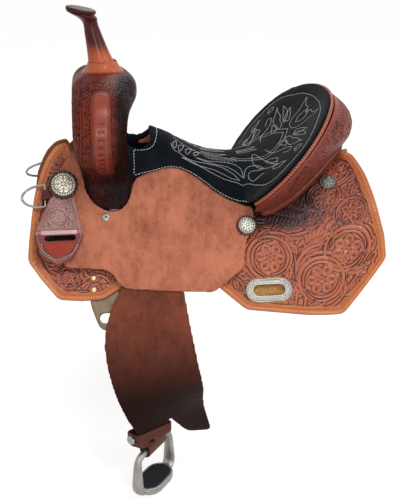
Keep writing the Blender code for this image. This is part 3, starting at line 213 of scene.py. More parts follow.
# Its motif over (x, y): a contour, scrolls, and leaves as start, end, bend, width and waves
SEAT_CONTOUR = (
    (-0.054, 0.03), (-0.0497, 0.0427), (-0.0398, 0.0467), (-0.0235, 0.0549), (-0.0069, 0.0609),
    (0.0128, 0.0685), (0.0343, 0.0763), (0.0526, 0.08), (0.0608, 0.0832), (0.0703, 0.093),
    (0.0828, 0.114), (0.095, 0.1365), (0.1083, 0.1479), (0.1208, 0.1499), (0.1368, 0.1491),
    (0.152, 0.1443), (0.1683, 0.1277), (0.1855, 0.0935), (0.197, 0.064), (0.2046, 0.0232),
    (0.2053, 0.0),
)
SEAT_SCROLLS = (
    ((-0.0369, 0.0526), (-0.0148, 0.0543), (0.008, 0.0516), (0.0286, 0.0532), (0.0478, 0.0654),
     (0.06, 0.0775)),
    ((0.06, 0.0775), (0.0433, 0.0733), (0.0187, 0.063), (-0.0103, 0.0598), (-0.0369, 0.0526)),
    ((-0.012, 0.0445), (0.01, 0.043), (0.0269, 0.0399), (0.0476, 0.0418), (0.0632, 0.0549),
     (0.0662, 0.0762)),
    ((0.0662, 0.0762), (0.056, 0.063), (0.04, 0.052), (0.018, 0.0485), (-0.012, 0.0445)),
    ((-0.048, 0.006), (-0.025, 0.014), (0.0000, 0.018), (0.0241, 0.0205), (0.0496, 0.0275),
     (0.0822, 0.0447), (0.1059, 0.0586), (0.1204, 0.0539), (0.1415, 0.0332), (0.156, 0.0)),
    ((0.052, 0.0225), (0.079, 0.036), (0.102, 0.048), (0.117, 0.045), (0.137, 0.026),
     (0.148, 0.0)),
    ((0.067, 0.0767), (0.0705, 0.0641), (0.0795, 0.0616), (0.0917, 0.0711), (0.0983, 0.0878),
     (0.0898, 0.083), (0.0792, 0.0749), (0.0732, 0.0806), (0.0787, 0.0996), (0.0905, 0.0992),
     (0.0969, 0.1014)),
    ((0.131, 0.0845), (0.1373, 0.0997), (0.1435, 0.0936), (0.1386, 0.0761), (0.1293, 0.0645),
     (0.1181, 0.0525), (0.1111, 0.0224)),
    ((0.16, 0.0000), (0.162, 0.016), (0.171, 0.028), (0.183, 0.033), (0.1975, 0.045),
     (0.192, 0.026), (0.193, 0.011), (0.186, 0.0)),
    ((0.169, 0.0), (0.174, 0.01), (0.182, 0.013), (0.189, 0.006), (0.19, 0.0)),
)
SEAT_LEAVES = (
    ((-0.048, 0.04), (-0.043, 0.016), -0.1, 0.006, 0),
    ((-0.04, 0.043), (-0.03, 0.018), -0.12, 0.007, 0),
    ((-0.028, 0.045), (-0.016, 0.018), -0.12, 0.007, 0),
    ((-0.014, 0.04), (-0.002, 0.017), -0.12, 0.006, 0),
    ((0.0000, 0.008), (0.045, 0.01), 0.1, 0.009, 0),
    ((0.09, 0.026), (0.118, 0.112), 0.16, 0.016, 0),
    ((0.135, 0.028), (0.14, 0.064), -0.15, 0.01, 0),
    ((0.148, 0.028), (0.157, 0.108), 0.08, 0.012, 2),
    ((0.156, 0.038), (0.166, 0.096), -0.1, 0.008, 0),
    ((0.162, 0.032), (0.174, 0.07), 0.16, 0.011, 0),
    ((0.105, 0.07), (0.118, 0.102), -0.25, 0.01, 2),
    ((0.11, 0.11), (0.128, 0.128), 0.2, 0.009, 2),
    ((0.064, 0.005), (0.1, 0.009), -0.15, 0.01, 0),
)

SEAT_SEWN_STEP = 0.0012
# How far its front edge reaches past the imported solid's, to lap over the fork's foot
SEAT_FRONT_REACH = 0.005

# Carving: depth, width of its cuts, and how far round a form the ground still follows it
RELIEF = 0.002
CUT = 0.0009
REACH = 0.008
OPEN_GROUND = 0.0299
RIPPLE = 0.0066
LOBE_PITCH = 0.0066
STROKE_POINT = 0.12
BORDER = 0.0125
BORDER_LINES = (0.0082, 0.0108)
STITCH_INSET = 0.0046
STITCH_PITCH = 0.0042
STITCH_LENGTH = 0.0036
THREAD_RADIUS = 0.0007


# Curves and surfaces

def step(value):
    """A step from 0 to 1 with level ends."""
    value = np.clip(value, 0.0, 1.0)
    return value * value * (3 - 2 * value)


def spline(points, samples):
    """Points evenly spaced in parameter on a Catmull-Rom curve through the given ones."""
    points = np.array(points, float)
    ends = np.vstack([2 * points[0] - points[1], points, 2 * points[-1] - points[-2]])
    at = np.linspace(0, len(points) - 1, samples)
    k = np.minimum(at.astype(int), len(points) - 2)
    t = (at - k)[:, None]
    a, b, c, d = (ends[k + i] for i in range(4))
    return 0.5 * (2 * b + t * (c - a) + t * t * (2 * a - 5 * b + 4 * c - d)
                  + t ** 3 * (3 * b - a - 3 * c + d))


def bell(offset, width, power=2):
    """1 where the offset is 0, falling off to 0 on both sides."""
    return np.exp(-(offset / width) ** power)


def unit(vectors):
    """The same directions, each 1 long."""
    return vectors / np.maximum(np.linalg.norm(vectors, axis=-1, keepdims=True), 1e-9)


def bent_line(start, end, bend, samples):
    """A line from start to end that bows out to its left by a share of its length."""
    chord = end - start
    middle = (start + end) / 2 + np.array([-chord[1], chord[0]]) * bend
    t = np.linspace(0, 1, samples)[:, None]
    return (1 - t) ** 2 * start + 2 * t * (1 - t) * middle + t * t * end


def distance_down(grid):
    """How far along its row each point of a grid lies."""
    found = np.zeros(grid.shape[:2])
    found[:, 1:] = np.cumsum(np.linalg.norm(np.diff(grid, axis=1), axis=2), axis=1)
    return found


def distance_along(line):
    """How far along a line each of its points lies."""
    return distance_down(line[None])[0]


def evenly(points, pitch, closed=False):
    """The same line with points a steady distance apart."""
    points = np.array(points, float)
    if closed:
        points = np.vstack([points, points[:1]])
    run = distance_along(points)
    count = max(2, round(run[-1] / pitch) + 1)
    places = np.linspace(0, run[-1], count)
    if closed:
        places = places[:-1]
    return np.stack([np.interp(places, run, column) for column in points.T], 1)


def rounded(outline, radius, steps):
    """The outline with each corner cut to a short curve."""
    found = []
    for i, here in enumerate(outline):
        here = Vector(here)
        before = Vector(outline[i - 1]) - here
        after = Vector(outline[(i + 1) % len(outline)]) - here
        reach = min(radius, 0.45 * before.length, 0.45 * after.length)
        if before.angle(-after) < radians(12):
            found.append(tuple(here))
            continue
        start = here + before.normalized() * reach
        end = here + after.normalized() * reach
        for k in range(steps + 1):
            t = k / steps
            found.append(tuple((1 - t) ** 2 * start + 2 * t * (1 - t) * here + t * t * end))
    return found


def stadium(length, width, count=12):
    """A slot outline, long way along x."""
    radius = width / 2
    half = length / 2 - radius
    points = []
    for centre, start in ((half, -pi / 2), (-half, pi / 2)):
        for i in range(count + 1):
            angle = start + pi * i / count
            points.append((centre + radius * cos(angle), radius * sin(angle)))
    return points


def slopes(s):
    """y, z and slope down the leather: an arch over the spine, then a straight side."""
    slope = SPINE_SLOPE + np.minimum(s, TURN_LENGTH) / TURN_RADIUS
    past = np.maximum(s - TURN_LENGTH, 0)
    y = TURN_RADIUS * (np.sin(slope) - sin(SPINE_SLOPE)) + past * cos(SIDE_SLOPE)
    z = -TURN_RADIUS * (cos(SPINE_SLOPE) - np.cos(slope)) - past * sin(SIDE_SLOPE)
    return y, z, slope


def flap_surface(x, s, t):
    """Points of the plane that the jockey and keeper lie along, in the off half."""
    x, s, t = np.broadcast_arrays(*(np.asarray(v, float) for v in (x, s, t)))
    run = s - TURN_LENGTH
    y = TURN_Y + run * cos(SIDE_SLOPE) + t * sin(SIDE_SLOPE)
    z = SPINE_Z + TURN_Z - run * sin(SIDE_SLOPE) + t * cos(SIDE_SLOPE)
    return np.stack([x, y, z], -1)


def side_surface(x, s, t):
    """Points t above the skirt's inner face, s down the leather, in the off half."""
    x, s, t = np.broadcast_arrays(*(np.asarray(v, float) for v in (x, s, t)))
    share = step((FRONT_FLAT_START - x) / FRONT_FLAT_LENGTH)
    y, z, slope = slopes(s)
    run = s - TURN_LENGTH
    y = y + (TURN_Y + run * cos(SIDE_SLOPE) - y) * share
    z = z + (TURN_Z - run * sin(SIDE_SLOPE) - z) * share
    slope = slope + (SIDE_SLOPE - slope) * share
    rise = REAR_ROCK * np.maximum(0.0, x - REAR_ROCK_START) ** 2
    return np.stack([x, y + t * np.sin(slope), SPINE_Z + rise + z + t * np.cos(slope)], -1)


def side_matrix(x, s, t, side, surface=flap_surface):
    """Places a piece modelled round +Z on the side of the saddle, its +Y up the slope."""
    origin = Vector(surface(x, s, t))
    across = (Vector(surface(x + 0.01, s, t)) - Vector(surface(x - 0.01, s, t))).normalized()
    up = Vector(surface(x, s - 0.01, t)) - Vector(surface(x, s + 0.01, t))
    out = up.cross(across).normalized()
    up = across.cross(out)
    for vector in (origin, across, up, out):
        vector.y *= side
    return Matrix.Translation(origin) @ Matrix((across, up, out)).transposed().to_4x4()


def rim_points(angle):
    """The upper edge of the seat round the cantle, from 0 at the top centre."""
    angle = np.asarray(angle, float)
    turn = 1 - np.cos(angle)
    return np.stack([
        RIM_TOP_X - RIM_LENGTH * turn ** 0.947,
        RIM_HALF_WIDTH * np.sin(angle),
        RIM_TOP_Z - RIM_DROP * turn ** 1.105,
    ], -1)


def dish_directions(angle):
    """From the rim down into the seat."""
    angle = np.asarray(angle, float)
    return unit(np.stack([
        -0.62 * np.cos(angle), -0.9 * np.sin(angle),
        -(0.75 * np.cos(angle) + 0.1 * np.abs(np.sin(angle))),
    ], -1))


def rim_normals(angle):
    """Upwards from the seat leather at the rim."""
    along = rim_points(np.asarray(angle) + 0.02) - rim_points(np.asarray(angle) - 0.02)
    return unit(np.cross(along, dish_directions(angle)))


def cantle_feet(angle, t):
    """Points of the side surface along the foot of the cantle."""
    table = np.array(CANTLE_FOOT)
    turn = np.minimum(np.degrees(np.abs(angle)), 120.75)

    def read(column, at):
        last = table[-1, column] - table[-2, column]
        past = np.maximum(at - 120, 0) / 15
        return np.interp(at, table[:, 0], table[:, column]) + last * past

    kept = np.minimum(1.0, turn / 17)
    foot = side_surface(read(1, turn), read(2, turn), t)
    foot[..., 2] += foot[..., 1] * (1 - kept) * tan(SPINE_SLOPE)
    foot[..., 1] *= kept * np.where(np.asarray(angle) >= 0, 1, -1)
    return foot


def cantle_points(angle, w, inset=0.0):
    """The back of the cantle: w is 0 under the binding and 1 on the roll."""
    angle, w, inset = np.broadcast_arrays(*(np.asarray(v, float) for v in (angle, w, inset)))
    top = rim_points(angle) - rim_normals(angle) * (PAD_EDGE + 2 * BINDING_RADIUS + 3 * GAP)
    foot = cantle_feet(angle, SKIRT + 2 * GAP + 2 * ROLL_RADIUS)
    bulge = REAR_BULGE + (SIDE_BULGE - REAR_BULGE) * step(np.abs(angle) / radians(85))
    out = np.stack([np.cos(angle), np.sin(angle), np.zeros_like(angle)], -1)
    lift = bulge * 4 * w * (1 - w) - inset
    return top + (foot - top) * w[..., None] + out * lift[..., None]


# Shader nodes

class Number:
    """A shader value that takes part in sums like a number."""

    def __init__(self, shader, socket):
        self.shader = shader
        self.socket = socket

    def sum(self, operation, *values):
        """What one Math node makes of the values."""
        made = self.shader.node("ShaderNodeMath", {"operation": operation}, enumerate(values))
        return Number(self.shader, made.outputs[0])

    def __add__(self, other):
        return self.sum("ADD", self, other)

    def __sub__(self, other):
        return self.sum("SUBTRACT", self, other)

    def __rsub__(self, other):
        return self.sum("SUBTRACT", other, self)

    def __mul__(self, other):
        return self.sum("MULTIPLY", self, other)

    __radd__ = __add__
    __rmul__ = __mul__

    def between(self, low, high):
        """0 below low, 1 above high, and a smooth step from one to the other."""
        made = self.shader.node("ShaderNodeMapRange", {"interpolation_type": "SMOOTHSTEP"},
                                enumerate((self, low, high, 0.0, 1.0)))
        return Number(self.shader, made.outputs[0])


GLOSS = {
    "coat": "Coat Weight", "coat_roughness": "Coat Roughness", "sheen": "Sheen Weight",
    "sheen_roughness": "Sheen Roughness", "specular": "Specular IOR Level",
}


class Nodes:
    """A node tree whose nodes all come from one method."""

    def __init__(self, tree):
        self.nodes = tree.nodes
        self.links = tree.links

    def node(self, kind, settings=(), sockets=()):
        """A node with its settings made first, then its sockets filled or linked."""
        made = self.nodes.new(kind)
        for key, value in dict(settings).items():
            setattr(made, key, value)
        for key, value in dict(sockets).items():
            self.plug(made, key, value)
        return made

    def plug(self, node, key, value):
        if isinstance(value, Number):
            value = value.socket
        if isinstance(value, bpy.types.NodeSocket):
            self.links.new(value, node.inputs[key])
        else:
            node.inputs[key].default_value = value

    def seen_rays(self):
        """1 for the rays that see the background straight, in a mirror or through glass."""
        ray = self.node("ShaderNodeLightPath")
        camera, glossy, through = (Number(self, ray.outputs[key]) for key in (
            "Is Camera Ray", "Is Glossy Ray", "Is Transmission Ray"))
        seen = camera + glossy + through
        return seen.sum("MINIMUM", seen, 1.0)


class Shader(Nodes):
    """A node material built round one Principled BSDF."""

    def __init__(self, name, **gloss):
        self.material = bpy.data.materials.new(name)
        self.material.use_nodes = True
        super().__init__(self.material.node_tree)
        self.principled = self.nodes["Principled BSDF"]
        for key, value in gloss.items():
            self.plug(self.principled, GLOSS[key], value)
        self.place = self.node("ShaderNodeTexCoord").outputs["Object"]
        self.normal = None

    def noise(self, scale, detail=2.0, rough=0.5, stretch=(1.0, 1.0, 1.0)):
        place = self.node("ShaderNodeMapping", {}, {"Vector": self.place, "Scale": stretch})
        made = self.node("ShaderNodeTexNoise", {}, {
            "Vector": place.outputs[0], "Scale": scale, "Detail": detail, "Roughness": rough,
        })
        return Number(self, made.outputs[0])

    def cells(self, scale):
        made = self.node("ShaderNodeTexVoronoi", {}, {"Vector": self.place, "Scale": scale})
        return Number(self, made.outputs["Distance"])

    def attribute(self, name):
        made = self.node("ShaderNodeAttribute", {"attribute_name": name})
        return Number(self, made.outputs["Fac"])

    def height(self):
        """How high a point is on the piece at rest."""
        made = self.node("ShaderNodeSeparateXYZ", {}, {0: self.place})
        return Number(self, made.outputs[2])

    def mix(self, share, low, high):
        """A colour from low to high."""
        low, high = ((*colour, 1) if isinstance(colour, tuple) else colour
                     for colour in (low, high))
        made = self.node("ShaderNodeMix", {"data_type": "RGBA"}, {0: share, 6: low, 7: high})
        return made.outputs[2]

    def bump(self, height, depth):
        """Adds fine relief of that depth in metres."""
        sockets = {"Height": height, "Distance": depth}
        if self.normal:
            sockets["Normal"] = self.normal
        self.normal = self.node("ShaderNodeBump", {}, sockets).outputs[0]

    def finish(self, colour, roughness, metallic=None):
        """The material, with its colour, gloss and relief plugged in."""
        for key, value in (("Base Color", colour), ("Roughness", roughness),
                           ("Metallic", metallic), ("Normal", self.normal)):
            if value is not None:
                self.plug(self.principled, key, value)
        return self.material


# Materials

def carved_leather(name, light, middle, deep, cut, roughness, coat, haze=0.2):
    """Carved leather: its dye runs from light over middle to deep, darkest in the cuts, with a
    painted highlight pale along its edges."""
    shader = Shader(name, coat_roughness=haze, specular=0.06)
    dye = shader.attribute("dye")
    tone = shader.attribute("tone")
    cloud = shader.noise(26, 3, 0.6)
    mottle = shader.noise(170, 3, 0.65)
    grain = shader.cells(1500)
    shade = tone + (cloud - 0.5) * 0.55
    colour = shader.mix(shade.between(0.0, 0.5), light, middle)
    colour = shader.mix(shade.between(0.5, 1.0), colour, deep)
    colour = shader.mix((dye + (mottle - 0.5) * 0.3).between(0.12, 0.95), colour, cut)
    # Painted highlight: a pale line along the leather's edges.
    colour = shader.mix(shader.attribute("edge_highlight") * 0.75, colour, (0.52, 0.4, 0.34))
    shader.bump(grain, 0.00006)
    shader.bump(mottle, 0.00016)
    shader.plug(shader.principled, "Coat Weight", shader.attribute("shine") * 0.6 + coat)
    return shader.finish(colour, dye * 0.2 + mottle * 0.16 + (roughness - 0.08))


def smooth_leather(name, light, dark, roughness, coat):
    """Plain top-grain leather, darker where its tone is high."""
    shader = Shader(name, coat=coat, coat_roughness=0.26, specular=0.06)
    cloud = shader.noise(24, 3, 0.6)
    mottle = shader.noise(230, 3, 0.6)
    tone = shader.attribute("tone")
    share = (cloud * 0.55 + mottle * 0.3 + tone * 1.1).between(0.3, 1.1)
    colour = shader.mix(share, light, dark)
    colour = shader.mix(shader.attribute("edge") * 0.6, colour, dark)
    shader.bump(shader.cells(1300), 0.00004)
    shader.bump(mottle, 0.00008)
    return shader.finish(colour, mottle * 0.2 + (roughness - 0.1))


def rough_leather(name, light, dark, edge_colour, low=None):
    """Leather with its flesh side out: a short matt nap, brushed in patches. Below low it
    darkens over a hand's width: painted shade, where the hanging leather falls out of the light."""
    shader = Shader(name, sheen=0.12, sheen_roughness=0.5, specular=0.08)
    patches = shader.noise(15, 5, 0.68)
    brushed = shader.noise(75, 4, 0.75, (1.0, 0.5, 0.5))
    nap = shader.noise(700, 4, 0.8)
    pores = shader.noise(330, 2, 0.6)
    tone = patches * 0.95 + brushed * 0.65 + nap * 0.6 + pores * 0.25
    colour = shader.mix(tone.between(0.88, 1.44), dark, light)
    # Painted shade: below low the leather darkens, as a hanging piece falls out of the light.
    if low is not None:
        fall = 1 - shader.height().between(low - 0.15, low)
        colour = shader.mix(fall, colour, tuple(0.12 * part for part in dark))
    colour = shader.mix(shader.attribute("edge"), colour, edge_colour)
    # Painted shade: near black where the leather shows through the keeper's slot.
    colour = shader.mix(shader.attribute("slot_shade"), colour, (0.006, 0.003, 0.003))
    shader.bump(nap, 0.0007)
    shader.bump(brushed, 0.0009)
    return shader.finish(colour, 1.0 - nap * 0.12)


def suede(name, light, dark):
    shader = Shader(name, sheen=0.08, sheen_roughness=0.4, specular=0.05)
    patches = shader.noise(18, 4, 0.65)
    nap = shader.noise(900, 3, 0.75)
    drawn = shader.attribute("dye")
    colour = shader.mix((patches * 0.8 + nap * 0.5).between(0.4, 1.0), dark, light)
    colour = shader.mix(drawn * 0.6, colour, dark)
    shader.bump(nap, 0.0005)
    shader.bump(patches, 0.0016)
    return shader.finish(colour, 1.0 - nap * 0.08)


def fleece_wool(name, light, dark):
    shader = Shader(name, sheen=0.5, sheen_roughness=0.4, specular=0.1)
    clumps = shader.noise(210, 4, 0.7)
    fibres = shader.noise(1500, 3, 0.8)
    colour = shader.mix((clumps * 0.9 + fibres * 0.3).between(0.35, 0.85), dark, light)
    shader.bump(clumps, 0.003)
    shader.bump(fibres, 0.0006)
    return shader.finish(colour, 1.0 - clumps * 0.1)


def metal(name, light, dark, roughness, brushed=0.0):
    """Bare metal, tarnished dark where it is cut."""
    shader = Shader(name)
    dye = shader.attribute("dye")
    cloud = shader.noise(60, 3, 0.6)
    fine = shader.noise(900, 2, 0.5, (1.0, 1.0, 8.0 if brushed else 1.0))
    tarnish = tuple(0.66 * part for part in light)
    colour = shader.mix((cloud * 0.7 + fine * 0.3).between(0.25, 0.8), light, tarnish)
    colour = shader.mix(dye, colour, dark)
    shader.bump(fine, 0.00005 + 0.00009 * brushed)
    return shader.finish(colour, fine * 0.2 + cloud * 0.16 + dye * 0.3 + (roughness - 0.16),
                         1.0 - dye * 0.5)


def rawhide(name, light, dark):
    shader = Shader(name, coat=0.15, coat_roughness=0.3)
    cloud = shader.noise(30, 4, 0.6)
    fine = shader.noise(400, 3, 0.6)
    colour = shader.mix((cloud * 0.8 + fine * 0.3).between(0.3, 0.85), light, dark)
    shader.bump(fine, 0.0004)
    return shader.finish(colour, 0.45 + fine * 0.2)


def rubber(name, colour):
    shader = Shader(name, specular=0.2)
    fine = shader.noise(800, 3, 0.6)
    dust = shader.noise(40, 4, 0.6)
    shown = shader.mix(dust.between(0.45, 0.8) * 0.35, colour, tuple(3 * c for c in colour))
    shader.bump(fine, 0.0002)
    return shader.finish(shown, 0.66 + fine * 0.2)


def thread(name, light, dark):
    shader = Shader(name, sheen=0.2)
    twist = shader.noise(2200, 1, 0.5)
    colour = shader.mix(twist.between(0.35, 0.65), dark, light)
    shader.bump(twist, 0.00015)
    return shader.finish(colour, 0.7 + twist * 0.15)


def make_materials():
    return {
        "tooled": carved_leather("tooled_leather", (0.56, 0.17, 0.055), (0.37, 0.092, 0.048),
                                 (0.032, 0.011, 0.012), (0.03, 0.008, 0.008), 0.4, 0.24),
        "fork": carved_leather("fork_leather", (0.24, 0.036, 0.016), (0.15, 0.026, 0.016),
                               (0.012, 0.0032, 0.003), (0.007, 0.0025, 0.0025), 0.38, 0.03,
                               0.32),
        "cantle": carved_leather("cantle_leather", (0.33, 0.07, 0.038), (0.215, 0.04, 0.024),
                                 (0.1, 0.02, 0.014), (0.022, 0.006, 0.005), 0.36, 0.08),
        "lace": carved_leather("lace_leather", (0.52, 0.165, 0.105), (0.36, 0.09, 0.055),
                               (0.2, 0.045, 0.028), (0.03, 0.008, 0.006), 0.42, 0.2),
        # The keeper's pale pink light colour is a painted highlight of its gloss.
        "keeper": carved_leather("keeper_leather", (0.42, 0.235, 0.215), (0.2, 0.052, 0.044),
                                 (0.07, 0.017, 0.016), (0.02, 0.007, 0.008), 0.34, 0.3),
        "rosette": carved_leather("rosette_leather", (0.1, 0.02, 0.02), (0.05, 0.012, 0.013),
                                  (0.018, 0.006, 0.007), (0.008, 0.004, 0.004), 0.36, 0.35),
        "roll": smooth_leather("roll_leather", (0.145, 0.026, 0.013), (0.05, 0.011, 0.009),
                               0.32, 0.25),
        "collar": smooth_leather("collar_leather", (0.44, 0.105, 0.045), (0.26, 0.05, 0.022),
                                 0.34, 0.25),
        "horn": smooth_leather("horn_leather", (0.46, 0.105, 0.045), (0.06, 0.0085, 0.0075),
                               0.3, 0.22),
        "cap": smooth_leather("horn_cap_leather", (0.05, 0.012, 0.011), (0.018, 0.005, 0.006),
                              0.3, 0.06),
        "dark": smooth_leather("dark_leather", (0.08, 0.02, 0.014), (0.03, 0.008, 0.007),
                               0.4, 0.2),
        "strip": smooth_leather("strip_leather", (0.55, 0.36, 0.34), (0.36, 0.2, 0.185),
                                0.4, 0.3),
        "window": smooth_leather("window_leather", (0.3, 0.042, 0.024), (0.2, 0.026, 0.016),
                                 0.5, 0.1),
        "rough": rough_leather("rough_leather", (0.52, 0.18, 0.105), (0.25, 0.073, 0.04),
                               (0.26, 0.09, 0.05)),
        # The fender darkens with painted shade below -0.15 m.
        "fender": rough_leather("fender_leather", (0.205, 0.056, 0.031), (0.096, 0.026, 0.016),
                                (0.014, 0.007, 0.006), -0.15),
        "suede": suede("black_suede", (0.0095, 0.0125, 0.0165), (0.0028, 0.0036, 0.005)),
        "fleece": fleece_wool("fleece_wool", (0.62, 0.34, 0.12), (0.3, 0.135, 0.04)),
        "silver": metal("antique_silver", (0.8, 0.75, 0.61), (0.08, 0.07, 0.05), 0.38),
        # A lighter copy of the silver for the jockey conchos: painted light.
        "bright": metal("bright_silver", (0.97, 0.95, 0.84), (0.18, 0.16, 0.12), 0.44),
        "plate": metal("plate_silver", (0.44, 0.425, 0.37), (0.05, 0.05, 0.045), 0.4),
        # A darker copy of the silver for the rear concho: painted shade.
        "shaded_silver": metal("shaded_silver_metal", (0.4, 0.41, 0.35), (0.025, 0.03, 0.022), 0.38),
        "steel": metal("steel", (0.36, 0.35, 0.33), (0.08, 0.07, 0.06), 0.34),
        "brass": metal("brass", (0.72, 0.53, 0.26), (0.1, 0.06, 0.03), 0.34),
        "bronze": metal("nickel_bronze", (0.2, 0.145, 0.1), (0.06, 0.04, 0.03), 0.5),
        "aluminium": metal("satin_aluminium", (0.37, 0.355, 0.33), (0.14, 0.12, 0.11), 0.42, 1.0),
        "rawhide": rawhide("rawhide", (0.6, 0.36, 0.13), (0.4, 0.2, 0.06)),
        # Near black: partly a dark leather cover over the tree, partly painted shade in the gaps it
        # shows through.
        "cover_and_shade": smooth_leather("cover_and_shade_leather", (0.02, 0.009, 0.008), (0.008, 0.004, 0.004),
                                 0.6, 0.0),
        "rubber": rubber("rubber", (0.01, 0.012, 0.015)),
        "thread": thread("white_thread", (0.7, 0.72, 0.72), (0.4, 0.41, 0.41)),
        "tan_thread": thread("tan_thread", (0.86, 0.5, 0.27), (0.58, 0.25, 0.1)),
    }


# Meshes

def applied(piece):
    """The piece with its modifiers applied."""
    bpy.ops.object.select_all(action="DESELECT")
    piece.select_set(True)
    bpy.context.view_layer.objects.active = piece
    for modifier in list(piece.modifiers):
        bpy.ops.object.modifier_apply(modifier=modifier.name)
    return piece


def grid_faces(rows, columns, ring=False, loop=False):
    """Faces of a grid of rows by columns; ring joins the columns' ends, loop the rows'."""
    across = columns if ring else columns - 1
    down = rows if loop else rows - 1
    r, c = np.meshgrid(np.arange(down), np.arange(across), indexing="ij")
    r, c = r.ravel(), c.ravel()
    below = (r + 1) % rows
    beside = (c + 1) % columns
    return np.stack([r * columns + c, r * columns + beside, below * columns + beside,
                     below * columns + c], 1).tolist()


def capped_faces(rows, columns):
    """Faces of a closed tube: rows that are rings, with a face over each end."""
    last = (rows - 1) * columns
    return [*grid_faces(rows, columns, ring=True), list(range(columns)),
            list(range(last, last + columns))]


def new_object(name, data):
    made = bpy.data.objects.new(name, data)
    bpy.context.scene.collection.objects.link(made)
    return made


def new_piece(name, points, faces, material):
    mesh = bpy.data.meshes.new(name)
    mesh.from_pydata(np.asarray(points, float).tolist(), [], faces)
    shape = bmesh.new()
    shape.from_mesh(mesh)
    bmesh.ops.recalc_face_normals(shape, faces=shape.faces)
    shape.to_mesh(mesh)
    shape.free()
    mesh.shade_smooth()
    mesh.materials.append(material)
    return new_object(name, mesh)


def capped_piece(name, grid, material):
    """A solid over a grid whose rows are rings, with a face over each end."""
    return new_piece(name, grid.reshape(-1, 3), capped_faces(*grid.shape[:2]), material)


def hooped_piece(name, grid, material):
    """A solid over a grid that is closed both ways."""
    return new_piece(name, grid.reshape(-1, 3),
                     grid_faces(*grid.shape[:2], ring=True, loop=True), material)


def coordinates(mesh):
    found = np.empty(len(mesh.vertices) * 3)
    mesh.vertices.foreach_get("co", found)
    return found.reshape(-1, 3)


def vertex_normals(mesh):
    found = np.empty(len(mesh.vertices) * 3, np.float32)
    mesh.vertex_normals.foreach_get("vector", found)
    return found.reshape(-1, 3).astype(float)


def move_to(mesh, points):
    mesh.vertices.foreach_set("co", np.asarray(points, float).ravel())
    mesh.update()


def store(mesh, name, values):
    layer = mesh.attributes.new(name, "FLOAT", "POINT")
    layer.data.foreach_set("value", np.clip(values, 0, 1).astype(np.float32))


def store_shown(mesh, shape, fields):
    """Stores fields over a grid: each has values for its first columns, the ones that show,
    and one value for the rest."""
    for name, (values, rest) in fields.items():
        shown = np.reshape(values, (shape[0], -1))
        full = np.full(shape, rest)
        full[:, :shown.shape[1]] = shown
        store(mesh, name, full.ravel())


def give_material(mesh, material):
    mesh.materials.clear()
    mesh.materials.append(material)


def dress(piece, nodes, body="saddle_body"):
    """The piece moves with a body and stands for those solids."""
    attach(piece, body)
    if nodes:
        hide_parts(*nodes)


def skin(node, name, material, voxel, passes, thick=0.0, body="saddle_body"):
    """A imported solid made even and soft-edged, to stand for it. Where thick is given, its cut
    edges are marked: there a ray through the leather runs further than that."""
    piece = new_object(name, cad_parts[node].data.copy())
    remesh = piece.modifiers.new("even", "REMESH")
    remesh.mode = "VOXEL"
    remesh.voxel_size = voxel
    soften = piece.modifiers.new("soften", "SMOOTH")
    soften.factor = 0.5
    soften.iterations = passes
    mesh = applied(piece).data
    mesh.shade_smooth()
    give_material(mesh, material)
    if thick:
        store(mesh, "edge", edge_share(mesh, thick))
    dress(piece, [node], body)
    return piece


def tree_of(mesh):
    """The mesh's faces, to find points on."""
    mesh.calc_loop_triangles()
    return BVHTree.FromPolygons(
        coordinates(mesh).tolist(), [tuple(t.vertices) for t in mesh.loop_triangles]
    )


def edge_share(mesh, thick):
    """1 at the points of a cut edge, 0 on the leather's faces."""
    tree = tree_of(mesh)
    share = np.zeros(len(mesh.vertices))
    for i, (point, normal) in enumerate(zip(coordinates(mesh), vertex_normals(mesh))):
        way = -Vector(normal)
        hit = tree.ray_cast(Vector(point) + way * 0.0002, way, thick)
        share[i] = 0.0 if hit[0] else 1.0
    return share


def rings_round(line, sides):
    """Rings of radius 1 square to a line, one for each of its points."""
    along = unit(np.gradient(line, axis=0))
    side = unit(np.cross(along, [0.3, 0.2, 1.0]))
    up = np.cross(side, along)
    turn = np.linspace(0, 2 * pi, sides, endpoint=False)[None, :, None]
    return side[:, None] * np.cos(turn) + up[:, None] * np.sin(turn)


def tube(name, points, radius, material, sides):
    """A round strand through points, its ends closed by small domes."""
    line = evenly(points, radius * 0.8)
    ends = np.ones(len(line))
    for i, share in enumerate((0.35, 0.8, 0.95)):
        ends[i] = ends[-1 - i] = share
    reach = (radius * ends)[:, None, None]
    return capped_piece(name, line[:, None] + rings_round(line, sides) * reach, material)


def stitches(name, paths, material, pitch=STITCH_PITCH, length=STITCH_LENGTH,
             radius=THREAD_RADIUS, slant=0.0):
    """Sewn stitches along (points, normals) paths, each dipping into the leather at its ends."""
    stations = ((-0.5, 0.4, -0.9), (-0.38, 0.85, 0.1), (0.0, 1.0, 0.45), (0.38, 0.85, 0.1),
                (0.5, 0.4, -0.9))
    sides = 5
    turn = np.linspace(0, 2 * pi, sides, endpoint=False)
    one = capped_faces(len(stations), sides)
    points = []
    faces = []
    for line, normals in paths:
        line = np.asarray(line, float)
        both = evenly(np.hstack([line, np.asarray(normals, float) * 1e-6]), pitch / 2)
        if len(both) < 3:
            continue
        spots = both[1::2]
        ahead = both[2::2][: len(spots)]
        spots = spots[: len(ahead)]
        along = unit(ahead[:, :3] - both[0::2][: len(spots), :3])
        side = unit(np.cross(along, unit(spots[:, 3:])))
        along, side = along * cos(slant) + side * sin(slant), side * cos(slant) - along * sin(slant)
        up = np.cross(side, along)
        for i in range(len(spots)):
            base = len(points)
            for part, wide, lift in stations:
                centre = spots[i, :3] + along[i] * part * length + up[i] * lift * radius
                for angle in turn:
                    ring = side[i] * cos(angle) + up[i] * sin(angle)
                    points.append(centre + ring * wide * radius)
            faces += [[base + k for k in face] for face in one]
    return new_piece(name, points, faces, material)


# Carving

